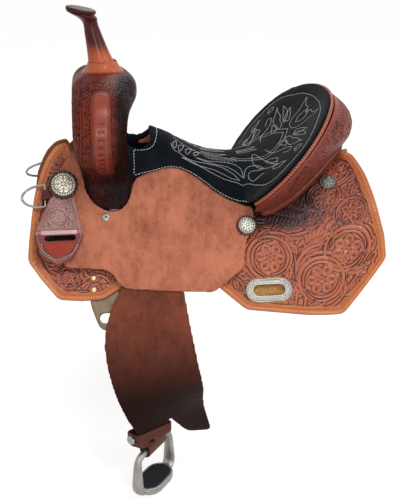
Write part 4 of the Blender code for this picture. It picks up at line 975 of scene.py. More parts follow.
class Carving:
    """Forms carved side by side in leather, over flat points. A form's height runs from 0 at
    the foot of the deepest cut to 1 at the leather's own face."""

    def __init__(self, u, v, fine=1.0):
        self.place = np.stack([np.asarray(u, float), np.asarray(v, float)], 1)
        self.fine = fine
        count = len(self.place)
        self.height = np.zeros(count)
        self.covered = np.zeros(count, bool)
        self.gap = np.full(count, OPEN_GROUND)
        self.line = np.zeros(count)

    def near(self, centre, reach):
        """The points that a form of this reach can touch or bend the ground round."""
        off = np.abs(self.place - centre)
        reach = reach + REACH
        return np.nonzero((off[:, 0] < reach) & (off[:, 1] < reach))[0]

    def press(self, index, inside, height):
        """Lays a form over what is there; inside is the distance in from its edge."""
        cut = CUT * self.fine
        within = inside > 0
        here = index[within]
        rise = np.clip(inside[within] / (1.8 * cut), 0, 1)
        self.height[here] = height[within] * np.sqrt(1 - (1 - rise) ** 2)
        self.covered[here] = True
        self.line[here] = 0.9 * bell(inside[within], 0.7 * cut)
        out = index[~within]
        self.gap[out] = np.minimum(self.gap[out], -inside[~within])
        self.line[out] = np.maximum(self.line[out], bell(inside[~within], 1.2 * cut))

    def along(self, index, line):
        """How far along a line each point is, from 0 to 1, and how far to its left."""
        line = np.asarray(line, float)
        spots = self.place[index][:, None]
        a = line[:-1][None]
        run = np.diff(line, axis=0)[None]
        share = ((spots - a) * run).sum(-1) / np.maximum((run * run).sum(-1), 1e-12)
        share = np.clip(share, 0, 1)
        off = spots - a - share[..., None] * run
        far = np.hypot(off[..., 0], off[..., 1])
        best = far.argmin(1)
        rows = np.arange(len(index))
        run = run[0][best]
        off = off[rows, best]
        left = np.sign(run[:, 0] * off[:, 1] - run[:, 1] * off[:, 0])
        return (best + share[rows, best]) / (len(line) - 1), far[rows, best] * left

    def stroke(self, line, width):
        """A rounded ridge whose ends are drawn out to points."""
        line = np.asarray(line, float)
        centre = (line.min(0) + line.max(0)) / 2
        index = self.near(centre, np.abs(line - centre).max() + width)
        at, across = self.along(index, line)
        full = np.sqrt(np.clip(np.sin(pi * at), 0, 1))
        half = width / 2 * (STROKE_POINT + (1 - STROKE_POINT) * full)
        bulk = np.clip(1 - (across / half) ** 2, 0, 1)
        self.press(index, half - np.abs(across), 0.4 + 0.6 * np.sqrt(bulk))

    def leaf(self, start, end, bend, width):
        """An acanthus leaf: a cut midrib and ribs that slant off it to a notched edge."""
        start, end = np.array(start, float), np.array(end, float)
        length = np.hypot(*(end - start))
        lobes = max(3, round(length / (LOBE_PITCH * self.fine)))
        index = self.near((start + end) / 2, length * (0.6 + abs(bend) * 0.5) + width)
        at, across = self.along(index, bent_line(start, end, bend, 22))
        beat = lobes * at
        shape = np.sin(pi * np.clip(at, 0.0, 1.0) ** 0.75) ** 0.8
        half = width / 2 * shape * (1 + 0.16 * np.cos(2 * pi * beat)) + 0.0002
        side = np.clip(np.abs(across) / half, 0, 1)
        vein = bell(across, 0.0011 * self.fine) * (at < 0.88)
        ribs = np.cos(2 * pi * (beat - 0.8 * side))
        height = 0.6 + 0.25 * side - 0.5 * vein + 0.34 * ribs * side ** 0.5
        self.press(index, half - np.abs(across), height)

    def flower(self, centre, radius, petals, turn):
        """Hollow, drop-shaped petals with raised rims round a sunk heart."""
        centre = np.array(centre, float)
        index = self.near(centre, radius * 1.2)
        off = self.place[index] - centre
        r = np.hypot(off[:, 0], off[:, 1])
        foot = 0.16 * radius
        rim = 0.13 * radius
        widest = radius * min(0.42, 1.15 * pi / petals * 0.62)
        for i in range(petals):
            angle = turn + 2 * pi * i / petals
            out = off @ np.array([cos(angle), sin(angle)])
            across = off @ np.array([-sin(angle), cos(angle)])
            at = (out - foot) / (0.84 * radius)
            inside = np.clip(at, 0, 1)
            half = widest * np.sin(pi * inside ** 1.35) ** 0.62
            edge = np.where((at > 0) & (at < 1), half - np.abs(across), -np.hypot(
                across, np.where(at < 0, out - foot, out - radius)))
            ridge = bell(edge - rim, 0.8 * rim)
            hollow = np.clip((edge - 1.7 * rim) / (0.8 * rim), 0, 1)
            vein = bell(across, 0.0009 * self.fine) * (inside < 0.6)
            self.press(index, edge, 0.55 + 0.45 * ridge - 0.5 * hollow + 0.3 * vein * hollow)
        heart = radius * 0.25
        core = np.clip(r / heart, 0, 1)
        near = r < heart * 1.6
        self.press(index[near], heart - r[near], (0.25 + 0.7 * core ** 2)[near])

    def berry(self, centre, radius):
        """A round bead."""
        index = self.near(np.array(centre), radius * 1.8)
        off = self.place[index] - centre
        r = np.hypot(off[:, 0], off[:, 1])
        self.press(index, radius - r, 0.3 + 0.7 * np.sqrt(np.clip(1 - (r / radius) ** 2, 0, 1)))

    def bloom(self, centre, size, turn, hand, petals):
        """A flower inside tapered strokes that swirl round it, with leaves coming off them."""
        centre = np.array(centre, float)

        def spot(angle, share):
            return centre + size * share * np.array([cos(angle), sin(angle)])

        for angle, reach in ((0.3, 1.22), (1.5, 1.18), (2.9, 1.24), (4.3, 1.18), (5.5, 1.2)):
            angle = turn + hand * angle
            self.leaf(spot(angle, 0.84), spot(angle + hand * 0.74, reach), -0.24 * hand,
                      0.34 * size)
        for start, end, reach, width in ((-0.2, 4.1, 0.97, 0.19), (2.9, 6.1, 0.93, 0.17),
                                         (0.6, 3.7, 0.79, 0.14), (4.1, 6.7, 0.77, 0.13)):
            arc = [spot(turn + hand * a, reach - 0.055 * abs(a - start) / (end - start))
                   for a in np.linspace(start, end, 36)]
            self.stroke(arc, width * size)
        self.flower(centre, 0.63 * size, petals, turn)

    def vine(self, points, width, leaf, hand=1):
        """A stem with leaves on both sides in turn."""
        line = spline(points, 12 * len(points))
        run = np.linalg.norm(np.diff(line, axis=0), axis=1).sum()
        count = max(2, int(run / (0.55 * leaf)))
        for i in range(count):
            k = int((i + 0.35) / count * (len(line) - 1))
            along = line[min(k + 1, len(line) - 1)] - line[max(k - 1, 0)]
            along /= np.hypot(*along)
            side = np.array([-along[1], along[0]]) * (1 if i % 2 else -1) * hand
            start = line[k] + side * width * 0.3
            end = start + (along * 0.82 + side * 0.6) * leaf
            self.leaf(start, end, 0.22 * (1 if i % 2 else -1) * hand, 0.48 * leaf)
        self.stroke(line, width)

    def result(self, field, ripple=RIPPLE):
        """(height in metres, dye): field is 1 where the ground is worked, 0 on plain leather.
        The ground between the forms is filled by lines that flow round them."""
        waves = 0.5 - 0.5 * np.cos(2 * pi * self.gap / (ripple * self.fine))
        ground = 0.06 + np.where(self.gap < OPEN_GROUND, 0.72 * waves, 0.4)
        high = np.where(self.covered, self.height, ground)
        dye = 0.8 * np.clip(1.0 - high, 0, 1) ** 1.5 + 0.45 * self.line
        fall = (1 - high) + 0.15 * self.line
        return -RELIEF * self.fine * fall * field, np.clip(dye, 0, 1) * field


def outline_distance(outline, u, v):
    """Distance of each point to a closed outline."""
    points = np.stack([u, v], 1)
    found = np.full(len(points), np.inf)
    corners = np.array(outline, float)
    for a, b in zip(corners, np.roll(corners, -1, axis=0)):
        run = b - a
        share = np.clip(((points - a) @ run) / max(run @ run, 1e-12), 0, 1)
        off = points - a - share[:, None] * run
        found = np.minimum(found, np.hypot(off[:, 0], off[:, 1]))
    return found


def inset(outline, distance):
    """A closed outline moved inwards."""
    corners = np.array(outline, float)
    ahead = unit(np.roll(corners, -1, axis=0) - corners)
    turn = unit(ahead + np.roll(ahead, 1, axis=0))
    normal = np.stack([-turn[:, 1], turn[:, 0]], 1)
    area = (corners[:, 0] * np.roll(corners[:, 1], -1)
            - corners[:, 1] * np.roll(corners[:, 0], -1)).sum()
    moved = corners + normal * distance * (1 if area > 0 else -1)
    return moved[outline_distance(outline, *moved.T) > distance * 0.8]


def span(outline, x):
    """The least and greatest second coordinate of a closed outline at each x."""
    low = np.full(len(x), np.inf)
    high = np.full(len(x), -np.inf)
    corners = np.array(outline, float)
    for (x0, s0), (x1, s1) in zip(corners, np.roll(corners, -1, axis=0)):
        if abs(x1 - x0) < 1e-9:
            continue
        share = (x - x0) / (x1 - x0)
        hit = (share >= -1e-6) & (share <= 1 + 1e-6)
        s = s0 + (s1 - s0) * share
        low[hit] = np.minimum(low[hit], s[hit])
        high[hit] = np.maximum(high[hit], s[hit])
    return low, high


def slab(name, outline, columns, hole):
    """The skirt flat over (x, s, t): fine rows on top, a few underneath, and a hole cut."""
    edge = np.array((0, 0.0005, 0.0012, 0.0022, 0.0034))
    low, high = span(outline, columns)
    fits = np.clip((high - low) / 0.014, 0.02, 1)
    share = np.linspace(0, 1, SKIRT_ROWS)[1:-1]
    start = low + edge[-1] * fits
    end = high - edge[-1] * fits
    s = np.concatenate([
        low[:, None] + edge * fits[:, None],
        start[:, None] + (end - start)[:, None] * share,
        high[:, None] - edge[::-1] * fits[:, None],
    ], 1)
    count = s.shape[1]
    x = np.broadcast_to(columns[:, None], s.shape)
    top = np.stack([x, s, np.full_like(s, SKIRT)], -1).reshape(-1, 3)
    picked = np.unique(np.linspace(0, count - 1, SKIRT_ROWS_UNDER).astype(int))
    under = np.stack([x[:, picked], s[:, picked], np.zeros((len(columns), len(picked)))], -1)
    base = len(top)
    points = np.vstack([top, under.reshape(-1, 3)])
    faces = [face[::-1] for face in grid_faces(len(columns), count)]
    wide = len(picked)
    faces += [[base + k for k in face] for face in grid_faces(len(columns), wide)]
    for c in range(len(columns) - 1):
        a, b = c * count, (c + 1) * count
        d, e = base + c * wide, base + (c + 1) * wide
        faces.append([a, b, e, d])
        faces.append([b + count - 1, a + count - 1, d + wide - 1, e + wide - 1])
    last = len(columns) - 1
    faces.append([*range(count), *reversed(range(base, base + wide))])
    faces.append([*reversed(range(last * count, (last + 1) * count)),
                  *range(base + last * wide, base + (last + 1) * wide)])
    piece = new_piece(name, points, faces, None)
    rings = np.array([[(a, b, t) for a, b in hole] for t in (-0.01, 0.02)])
    cutter = capped_piece(name + "_hole", rings, None)
    cut = piece.modifiers.new("hole", "BOOLEAN")
    cut.object = cutter
    applied(piece)
    bpy.data.objects.remove(cutter, do_unlink=True)
    return piece


# Pieces

def side_points(x, s, t, side, surface=side_surface):
    points = surface(x, s, t)
    points[..., 1] *= side
    return points


def side_normals(x, s, side):
    rise = 0.001
    return (side_points(x, s, rise, side) - side_points(x, s, 0.0, side)) / rise


def carve_skirt(x, s):
    """The skirt's carving: blooms behind the cantle, flowing lines and leaves at the front."""
    carving = Carving(x, s)
    for start, end, bend, width in (
        ((0.17, 0.128), (0.078, 0.112), 0.16, 0.034),
        ((0.178, 0.104), (0.11, 0.072), 0.1, 0.026),
        ((0.262, 0.1), (0.272, 0.158), -0.3, 0.03),
        ((0.222, 0.128), (0.196, 0.16), 0.3, 0.022),
        ((0.164, 0.17), (0.214, 0.158), -0.25, 0.03),
        ((0.158, 0.184), (0.196, 0.176), -0.2, 0.02),
        ((0.146, 0.176), (0.148, 0.146), 0.1, 0.018), ((0.15, 0.17), (0.166, 0.142), 0.2, 0.014),
        ((0.143, 0.17), (0.13, 0.144), -0.2, 0.014), ((0.246, 0.236), (0.268, 0.222), 0.3, 0.018),
        ((0.224, 0.266), (0.252, 0.244), 0.2, 0.016), ((0.14, 0.262), (0.128, 0.238), 0.2, 0.014),
    ):
        carving.leaf(start, end, bend, width)
    for points, width, leaf, hand in (
        (((0.076, 0.118), (0.1, 0.14), (0.13, 0.146), (0.145, 0.16)), 0.006, 0.026, 1),
        (((0.266, 0.03), (0.27, 0.075), (0.277, 0.118)), 0.0055, 0.026, 1),
        (((0.028, 0.208), (0.05, 0.226), (0.058, 0.252)), 0.005, 0.022, 1),
        (((0.15, 0.273), (0.1, 0.269), (0.062, 0.263)), 0.0045, 0.016, 1),
        (((-0.284, 0.166), (-0.268, 0.204), (-0.244, 0.228), (-0.205, 0.23)), 0.0055, 0.022, 1),
        (((-0.288, 0.15), (-0.286, 0.11), (-0.276, 0.07), (-0.262, 0.03)), 0.0055, 0.026, -1),
        (((-0.16, 0.228), (-0.18, 0.206), (-0.205, 0.2)), 0.005, 0.022, 1),
    ):
        carving.vine(points, width, leaf, hand)
    for line, width in (
        (((0.139, 0.278), (0.147, 0.24), (0.15, 0.2), (0.172, 0.176), (0.205, 0.17)), 0.008),
        (((0.152, 0.282), (0.158, 0.262), (0.15, 0.225), (0.146, 0.18)), 0.006),
        (((0.148, 0.215), (0.166, 0.19), (0.2, 0.186), (0.228, 0.205), (0.232, 0.238)), 0.007),
        (((0.2, 0.17), (0.24, 0.15), (0.274, 0.164), (0.284, 0.196)), 0.0065),
        (((0.17, 0.285), (0.21, 0.276), (0.24, 0.248), (0.28, 0.215)), 0.006),
        (((0.13, 0.15), (0.168, 0.146), (0.204, 0.124), (0.222, 0.086)), 0.0065),
        (((-0.292, 0.13), (-0.286, 0.17), (-0.262, 0.205), (-0.215, 0.212)), 0.005),
    ):
        carving.stroke(spline(line, 60), width)
    for centre, size, turn, hand, petals in (
        ((0.236, 0.04), 0.034, 0.4, -1, 6), ((0.208, 0.088), 0.031, 1.9, 1, 6),
        ((0.18, 0.124), 0.019, 0.2, -1, 5), ((0.25, 0.128), 0.028, 2.6, -1, 5),
        ((0.236, 0.19), 0.041, 0.9, -1, 6), ((0.104, 0.187), 0.041, 1.2, 1, 6),
        ((0.189, 0.232), 0.041, 2.2, 1, 6), ((-0.238, 0.206), 0.019, 0.8, 1, 5),
        ((-0.245, -0.004), 0.02, 0.3, 1, 5),
    ):
        carving.bloom(centre, size, turn, hand, petals)
    for centre in ((0.15, 0.256), (0.205, 0.162), (0.27, 0.226), (0.264, 0.233),
                   (0.068, 0.148), (0.064, 0.156)):
        carving.berry(centre, 0.0036)
    return carving


def skirt_columns(outline):
    """Where the skirt's columns of points stand: close together where it is carved."""
    across = np.array(outline)[:, 0]
    first, last = across.min(), across.max()
    ends = np.array((0.00004, 0.0006, 0.0014, 0.0024))
    margin = 0.0036
    plain_start, plain_end = SKIRT_PLAIN
    front, plain, rear = SKIRT_PITCHES
    return np.concatenate([
        first + ends, np.arange(first + margin, plain_start, front),
        np.arange(plain_start, plain_end, plain), np.arange(plain_end, last - margin, rear),
        last - ends[::-1],
    ])


def skirt(word, side, materials):
    """A skirt: carved, with two lines and a row of stitches round its border."""
    outline = rounded(SKIRT_OUTLINE, SKIRT_CORNER, 4)
    slot = [(REAR_PLATE[0] + a, REAR_PLATE[1] + b)
            for a, b in stadium(REAR_SLOT_LENGTH, REAR_SLOT_WIDTH)]
    piece = slab(word + "_skirt_leather", outline, skirt_columns(outline), slot)
    x, s, t = coordinates(piece.data).T
    upper = t > SKIRT * 0.5
    depth = np.where(upper, outline_distance(outline, x, s), 0.0)
    edge = np.clip(depth / SKIRT_EDGE_BEND, 0, 1)
    t = np.where(upper, t - SKIRT_EDGE_BEND * (1 - np.sqrt(1 - (1 - edge) ** 2)), t)
    field = step((depth - BORDER) / 0.0012)
    ring = outline_distance(slot, x, s)
    field *= step((ring - (REAR_PLATE_WIDTH - REAR_SLOT_WIDTH) / 2 - 0.001) / 0.001)
    relief, dye = carve_skirt(x, s).result(field)
    on_top = depth > 0.0005
    lines = sum(bell(depth - d, 0.0007) for d in BORDER_LINES) * on_top
    channel = bell(depth - STITCH_INSET, 0.0016) * on_top
    relief -= 0.0006 * lines + 0.0005 * channel
    dye = np.clip(dye + 0.75 * lines + 0.5 * channel, 0, 1)
    dye = np.where(depth < 0.0012, 0.35, dye)
    t = np.where(upper, t + relief, t)
    move_to(piece.data, side_points(x, s, t, side))
    # On the near side the skirt gets painted shade where it shows through the keeper's slot.
    if word == "near":
        dye = np.maximum(dye, painted_slot_shade(x - KEEPER_SLOT[0], s - KEEPER_SLOT[1] + 0.0065, 0.002,
                                          0.007))
    store(piece.data, "dye", np.where(upper, dye, 0.6))
    # Tone: darker near the cantle and in the rear field's upper part, partly the leather's dye and
    # partly painted shade from the cantle.
    cantle_dye_and_shade = step((0.16 - s) / 0.06) * step((x - 0.03) / 0.05) * step((0.235 - x) / 0.1)
    rear = 0.34 + 0.3 * step((0.17 - s) / 0.05) + 0.55 * cantle_dye_and_shade
    tone = np.where(x > 0, np.where(field > 0.5, rear, 0.1 + 0.5 * cantle_dye_and_shade),
                    np.where(field > 0.5, 0.42, 0.1))
    store(piece.data, "tone", tone)
    store(piece.data, "shine", 0.35 * field)
    give_material(piece.data, materials["tooled"])
    if side > 0:
        piece.data.flip_normals()
    dress(piece, [word + "_skirt"])
    line = evenly(inset(outline, STITCH_INSET), 0.001, closed=True)
    path = side_points(*line.T, SKIRT - 0.0005, side)
    sewn = stitches(word + "_skirt_stitches", [(path, side_normals(*line.T, side))],
                    materials["tan_thread"], slant=radians(24) * side)
    dress(sewn, [])


def painted_slot_shade(along, down, margin, half):
    """1 on the leather that shows through the keeper's slot: painted shade there makes the slot
    read dark.
    """
    found = step((KEEPER_SLOT_LENGTH / 2 + margin - np.abs(along)) / 0.002)
    return found * step((half - np.abs(down)) / 0.002)


def fleece(word, materials):
    """Shorn wool: a soft edge, tufted all over."""
    piece = skin(word + "_fleece", word + "_fleece_wool", materials["fleece"],
                 voxel=0.0034, passes=8)
    points = coordinates(piece.data)
    normals = vertex_normals(piece.data)
    tufts = np.zeros(len(points))
    for scale, weight in ((430, 0.5), (700, 0.3), (1100, 0.2)):
        a = points @ np.array([1.0, 0.35, 0.2]) * scale
        b = points @ np.array([-0.3, 0.8, 0.6]) * scale * 1.1
        tufts += weight * np.sin(a + 1.7 * np.sin(b * 0.7)) * np.sin(b + 1.3 * np.sin(a * 0.6))
    below = np.clip(normals[:, 2] * -1 + 0.6, 0, 1)
    move_to(piece.data, points + normals * (TUFT * tufts * below)[:, None])


def jockey(word, materials):
    """A seat jockey; on the near side it carries painted shade behind the keeper's slot."""
    piece = skin(word + "_seat_jockey", word + "_jockey_leather", materials["rough"],
                 voxel=0.0022, passes=3, thick=0.0055)
    if word == "near":
        points = coordinates(piece.data)
        spot = np.array(flap_surface(*KEEPER_SLOT, JOCKEY_TOP)) * np.array([1, -1, 1])
        off = points - spot
        down = off @ np.array([0, -cos(SIDE_SLOPE), -sin(SIDE_SLOPE)])
        # Painted shade on the jockey where it shows through the keeper's slot.
        under = painted_slot_shade(off[:, 0], down + 0.0022, 0.001, KEEPER_SLOT_WIDTH / 2 + 0.002)
        store(piece.data, "slot_shade", under * (np.abs(off[:, 1]) < 0.03))


def hanging_leathers(word, materials):
    """Fender, stirrup leather, hobble strap and its buckle, which swing together."""
    for node, name, material, voxel, passes, thick, slot in (
        ("fender", "fender_leather", "fender", 0.0022, 4, 0.0055, "fender_leather"),
        ("stirrup_leather", "stirrup_strap", "dark", 0.0017, 3, 0.005, "dark_leather"),
        ("hobble_strap", "hobble_leather", "dark", 0.001, 3, 0.004, "dark_leather"),
        ("hobble_buckle", "buckle_metal", "steel", 0.0004, 4, 0.0, "steel"),
    ):
        skin(f"{word}_{node}", f"{word}_{name}", materials[material], voxel, passes, thick,
             word + "_fender_body")


def metal_stirrup(word, materials):
    """The stirrup and its ribbed tread pad."""
    body = word + "_stirrup_body"
    skin(word + "_stirrup", word + "_stirrup_metal", materials["aluminium"],
         voxel=0.001, passes=6, body=body)
    piece = skin(word + "_tread_pad", word + "_tread_rubber", materials["rubber"],
                 voxel=0.0008, passes=3, body=body)
    points = coordinates(piece.data)
    high = points[:, 2] > points[:, 2].max() - 0.001
    along = points @ np.array([0.574, 0.819 if word == "near" else -0.819, 0.0])
    ribs = np.clip(np.cos(along / TREAD_RIB_PITCH * 2 * pi) * 2.5, -1, 1)
    points[:, 2] -= np.where(high, TREAD_RIB_DEPTH / 2 * (1 - ribs), 0)
    move_to(piece.data, points)


def fork_stations(samples):
    """Centre, tangent, centre x, half width and half depth along the fork, near to off."""
    half = np.array(FORK_STATIONS)
    other = half[-2::-1] * np.array([-1, 1, 1, 1, 1])
    rows = spline(np.vstack([half, other]), samples)
    rows[:, 3:] = spline(np.vstack([half[:, 3:], half[-2::-1, 3:]]), samples)
    return rows, unit(np.gradient(rows[:, :2], axis=0))


def fork_surface(rows, tangent, angle, sunk):
    """Points round the fork: angle 0 to the rear, 90 degrees outwards."""
    power = 2 / FORK_SQUARENESS
    across = np.abs(np.cos(angle)) ** power * np.sign(np.cos(angle))
    along = np.abs(np.sin(angle)) ** power * np.sign(np.sin(angle))
    y, z, x, wide, deep = (rows[:, k][:, None] for k in range(5))
    out_y, out_z = tangent[:, 1][:, None], -tangent[:, 0][:, None]
    reach = (deep - sunk) * along
    return np.stack([x + (wide - sunk) * across, y + out_y * reach, z + out_z * reach], -1)


def carve_fork(run, round_):
    """Leaves up both arms beside an arched panel, scrolls and blooms on top."""
    carving = Carving(run, round_, 0.8)
    for hand in (1, -1):
        for lane in (1, -1):
            carving.vine([(hand * u, lane * v) for u, v in (
                (0.352, 0.01), (0.33, 0.026), (0.29, 0.034), (0.245, 0.036), (0.19, 0.033),
                (0.14, 0.034), (0.1, 0.034))], 0.0042, 0.022, lane * hand)
            carving.vine([(hand * u, lane * v) for u, v in (
                (0.31, 0.052), (0.25, 0.056), (0.19, 0.057), (0.13, 0.06), (0.085, 0.06))],
                0.0038, 0.02, -lane * hand)
            carving.bloom((hand * 0.072, lane * 0.046), 0.02, 0.9 * hand, -lane, 5)
        carving.bloom((hand * 0.09, hand * 0.012), 0.019, 0.5 * hand, hand, 5)
        carving.vine([(hand * u, v) for u, v in ((0.352, 0.0), (0.33, -0.003), (0.308, 0.0))],
                     0.004, 0.016)
    return carving


def fork_looks(u, v, edge):
    """The fork's relief in metres, its dye, tone and shine. An arched panel with rails stands
    on each arm, with a column of stamped crescents down it."""
    flat = np.abs(u)
    beyond = np.maximum(PANEL_TOP + PANEL_HALF - flat, flat - PANEL_FOOT + PANEL_HALF)
    panel = PANEL_HALF - np.hypot(np.maximum(beyond, 0), v)
    relief, dye = carve_fork(u, v).result(step((-panel - 0.0005) / 0.001))
    rails = sum(bell(panel - rail, 0.0009) for rail in PANEL_RAILS)
    bow = ((flat / CRESCENT_PITCH) % 1 - 0.5) * CRESCENT_PITCH - v * v / CRESCENT_BOW
    stamp = np.exp(-(np.minimum(bow, 0) / 0.0012) ** 2 - (np.maximum(bow, 0) / 0.0038) ** 2)
    stamp *= step((CRESCENT_HALF - np.abs(v)) / 0.002) * (panel > PANEL_RAILS[-1] + 0.003)
    stamp *= step((flat - CRESCENT_START) / 0.03)
    relief = relief - 0.0009 * rails - 0.0011 * stamp
    relief -= 0.0005 * bell(edge - 0.006, 0.0008)
    dye = np.clip(dye + 0.8 * rails + 0.85 * stamp, 0, 1)
    # Tone: darker towards the foot and down the sides; the rear side's extra darkness is painted
    # shade.
    lower = step((flat - 0.22) / 0.11)
    sides = step((np.abs(v) - 0.02) / 0.03)
    rear = step((-v - 0.008) / 0.024)
    tone = np.where(panel > 0, 0.1 + 0.7 * lower, 0.38 + 0.14 * sides + 0.55 * rear
                    + 0.5 * lower)
    return relief, dye, tone, (panel > PANEL_RAILS[1]) * (0.8 - 0.6 * lower)


def fork(materials):
    """The fork's leather, lapped round it from one arm's foot to the other's."""
    rows, tangent = fork_stations(FORK_ROWS)
    angle = np.radians(np.linspace(*FORK_LAP, FORK_AROUND))
    outer = fork_surface(rows, tangent, angle, 0.0)
    run = distance_along(outer[:, FORK_AROUND // 2])
    run = run - run[-1] / 2
    round_ = distance_down(outer)
    crown = int(np.argmin(np.abs(angle - pi / 2)))
    round_ = round_ - round_[:, crown][:, None]
    rank = np.arange(FORK_AROUND)
    lap = np.minimum(rank, rank[::-1])[None, :] * FORK_EDGE_PITCH
    edge = np.minimum(lap, (run[-1] - np.abs(run))[:, None]).ravel()
    relief, dye, tone, shine = fork_looks(np.repeat(run, FORK_AROUND), round_.ravel(), edge)
    out = unit(fork_surface(rows, tangent, angle, -0.001) - outer)
    shown = outer + out * relief.reshape(*outer.shape[:2], 1)
    inner = fork_surface(rows, tangent, angle[::-1][::6], COVER)
    grid = np.concatenate([shown, inner], 1)
    piece = capped_piece("fork_leather", grid, materials["fork"])
    # The pale line along the lap's edges is a painted highlight.
    store_shown(piece.data, grid.shape[:2], {
        "dye": (dye, 0.7), "tone": (tone, 0.8), "shine": (shine, 0.0),
        "edge_highlight": (bell(edge, 0.0012), 0.0)})
    dress(piece, ["fork_cover"])
    return piece


def primitive(name, add, **sizes):
    """A named primitive, the only thing selected."""
    bpy.ops.object.select_all(action="DESELECT")
    add(**sizes)
    piece = bpy.context.object
    piece.name = name
    return piece


def inset_faces(piece, chosen, steps):
    """Insets the faces that a test picks, once by each thickness and depth."""
    bpy.ops.object.mode_set(mode="EDIT")
    bpy.ops.mesh.select_all(action="DESELECT")
    bpy.ops.object.mode_set(mode="OBJECT")
    for face in piece.data.polygons:
        face.select = chosen(face)
    bpy.ops.object.mode_set(mode="EDIT")
    for thickness, depth in steps:
        bpy.ops.mesh.inset(thickness=thickness, depth=depth)
    bpy.ops.object.mode_set(mode="OBJECT")


def put_in_place(piece, matrix, material):
    """Moves the mesh of a piece that was modelled round the origin, and finishes it."""
    piece.data.transform(matrix)
    piece.data.shade_smooth()
    give_material(piece.data, material)


def horn_cap(material):
    """The leather-covered cap: a cylinder with its rims rolled over, crowned on top."""
    piece = primitive("horn_cap_leather", bpy.ops.mesh.primitive_cylinder_add, vertices=64,
                      radius=CAP_LENGTH / 2, depth=CAP_THICKNESS)
    inset_faces(piece, lambda face: abs(face.normal.z) > 0.9,
                ((0.0045, 0.0), (0.006, 0.0), (0.006, 0.0)))
    half = CAP_THICKNESS / 2
    points = coordinates(piece.data)
    far = np.hypot(points[:, 0], points[:, 1]) / (CAP_LENGTH / 2)
    points[:, 2] -= np.sign(points[:, 2]) * (np.abs(points[:, 2]) > half * 0.9) * 0.0008 * far ** 2
    points[:, 1] *= CAP_WIDTH / CAP_LENGTH
    move_to(piece.data, points)
    bevel = piece.modifiers.new("rolled rim", "BEVEL")
    bevel.width = 0.0032
    bevel.segments = 5
    bevel.limit_method = "ANGLE"
    bevel.angle_limit = radians(50)
    applied(piece)
    place = Matrix.Translation((CAP_X, 0, CAP_Z)) @ Matrix.Rotation(CAP_TILT, 4, "Y")
    put_in_place(piece, place, material)
    dress(piece, ["horn_cap"])


def horn(materials, cover):
    """The horn's wrap, its cap and the collar round its foot."""
    rows = spline(np.array(HORN_STATIONS), 70)[6:]
    turn = np.linspace(0, 2 * pi, 56, endpoint=False)

    def rings(sunk):
        x, z, long, wide, tilt = (rows[:, k][:, None] for k in range(5))
        tilt = np.radians(tilt)
        along = (long - sunk) * np.cos(turn)
        return np.stack([x + along * np.cos(tilt), (wide - sunk) * np.sin(turn) + 0 * x,
                         z - along * np.sin(tilt)], -1)

    grid = np.concatenate([rings(0.0), rings(POST_INSET - GAP)[::-1]])
    piece = hooped_piece("horn_wrap_leather", grid, materials["horn"])
    level = coordinates(piece.data)[:, 2]
    store(piece.data, "tone", step((level - 0.212) / 0.06))
    dress(piece, ["horn_wrap"])
    horn_cap(materials["cap"])
    collar(materials["collar"], cover)


def collar(material, cover):
    """A smooth collar on the fork round the horn's foot, with a scalloped edge."""
    x, z, bore = HORN_STATIONS[0][:3]
    surface = tree_of(cover.data)
    count = 144
    shares = np.linspace(0, 1, 14)
    rings = []
    for i in range(count):
        angle = 2 * pi * i / count
        wide = COLLAR_RADIUS + COLLAR_SCALLOP * abs(cos(angle * 9))
        top = []
        low = []
        for share in shares:
            radius = bore + 0.0004 + (wide - bore - 0.0004) * share
            spot = Vector((x + radius * cos(angle), radius * sin(angle), 0.26))
            hit = surface.ray_cast(spot, Vector((0, 0, -1)))[0]
            ground = hit.z if hit else z - 0.01
            fall = COLLAR_RISE * (1 - share) ** 2.2
            crown = COLLAR_CROWN * sqrt(max(0.0, 1 - share ** 6))
            top.append((spot.x, spot.y, ground + GAP + crown + fall))
            low.append((spot.x, spot.y, ground + GAP))
        rings.append(top + low[::-1])
    piece = hooped_piece("horn_collar_leather", np.array(rings), material)
    tone = np.concatenate([step((shares - 0.7) / 0.3), np.ones(len(shares))])
    store(piece.data, "tone", np.tile(0.6 * tone, count))
    dress(piece, ["horn_collar"])


def laced_binding(line, radius, material):
    """A leather binding over the cantle's rim, laced round with a flat thong."""
    line = evenly(line, LACE_STEP)
    sides = 20
    turn = np.linspace(0, 2 * pi, sides, endpoint=False)
    run = np.arange(len(line)) * LACE_STEP
    beat = (run[:, None] / LACE_PITCH + turn[None, :] / (2 * pi)) % 1 - 0.5
    thong = np.sqrt(np.clip(1 - (np.abs(beat) / 0.4) ** 4, 0, 1))
    reach = radius * (0.8 + 0.2 * thong)
    grid = line[:, None] + rings_round(line, sides) * reach[..., None]
    piece = capped_piece("cantle_binding_leather", grid, material)
    store(piece.data, "dye", (1 - thong).ravel())
    store(piece.data, "tone", np.full(thong.size, 0.3))
    dress(piece, ["cantle_binding"])


def carve_cantle(run, down):
    """A running vine between two lines, with a flower at each second bend."""
    carving = Carving(run, down)
    ends = 0.5
    count = 15
    points = [(-ends + 2 * ends * i / (count - 1), 0.034 + 0.008 * (-1) ** i)
              for i in range(count)]
    carving.vine(points, 0.005, 0.03)
    for i in range(-3, 4):
        carving.bloom((i * 0.11, 0.034), 0.0185, i, 1, 5)
    return carving


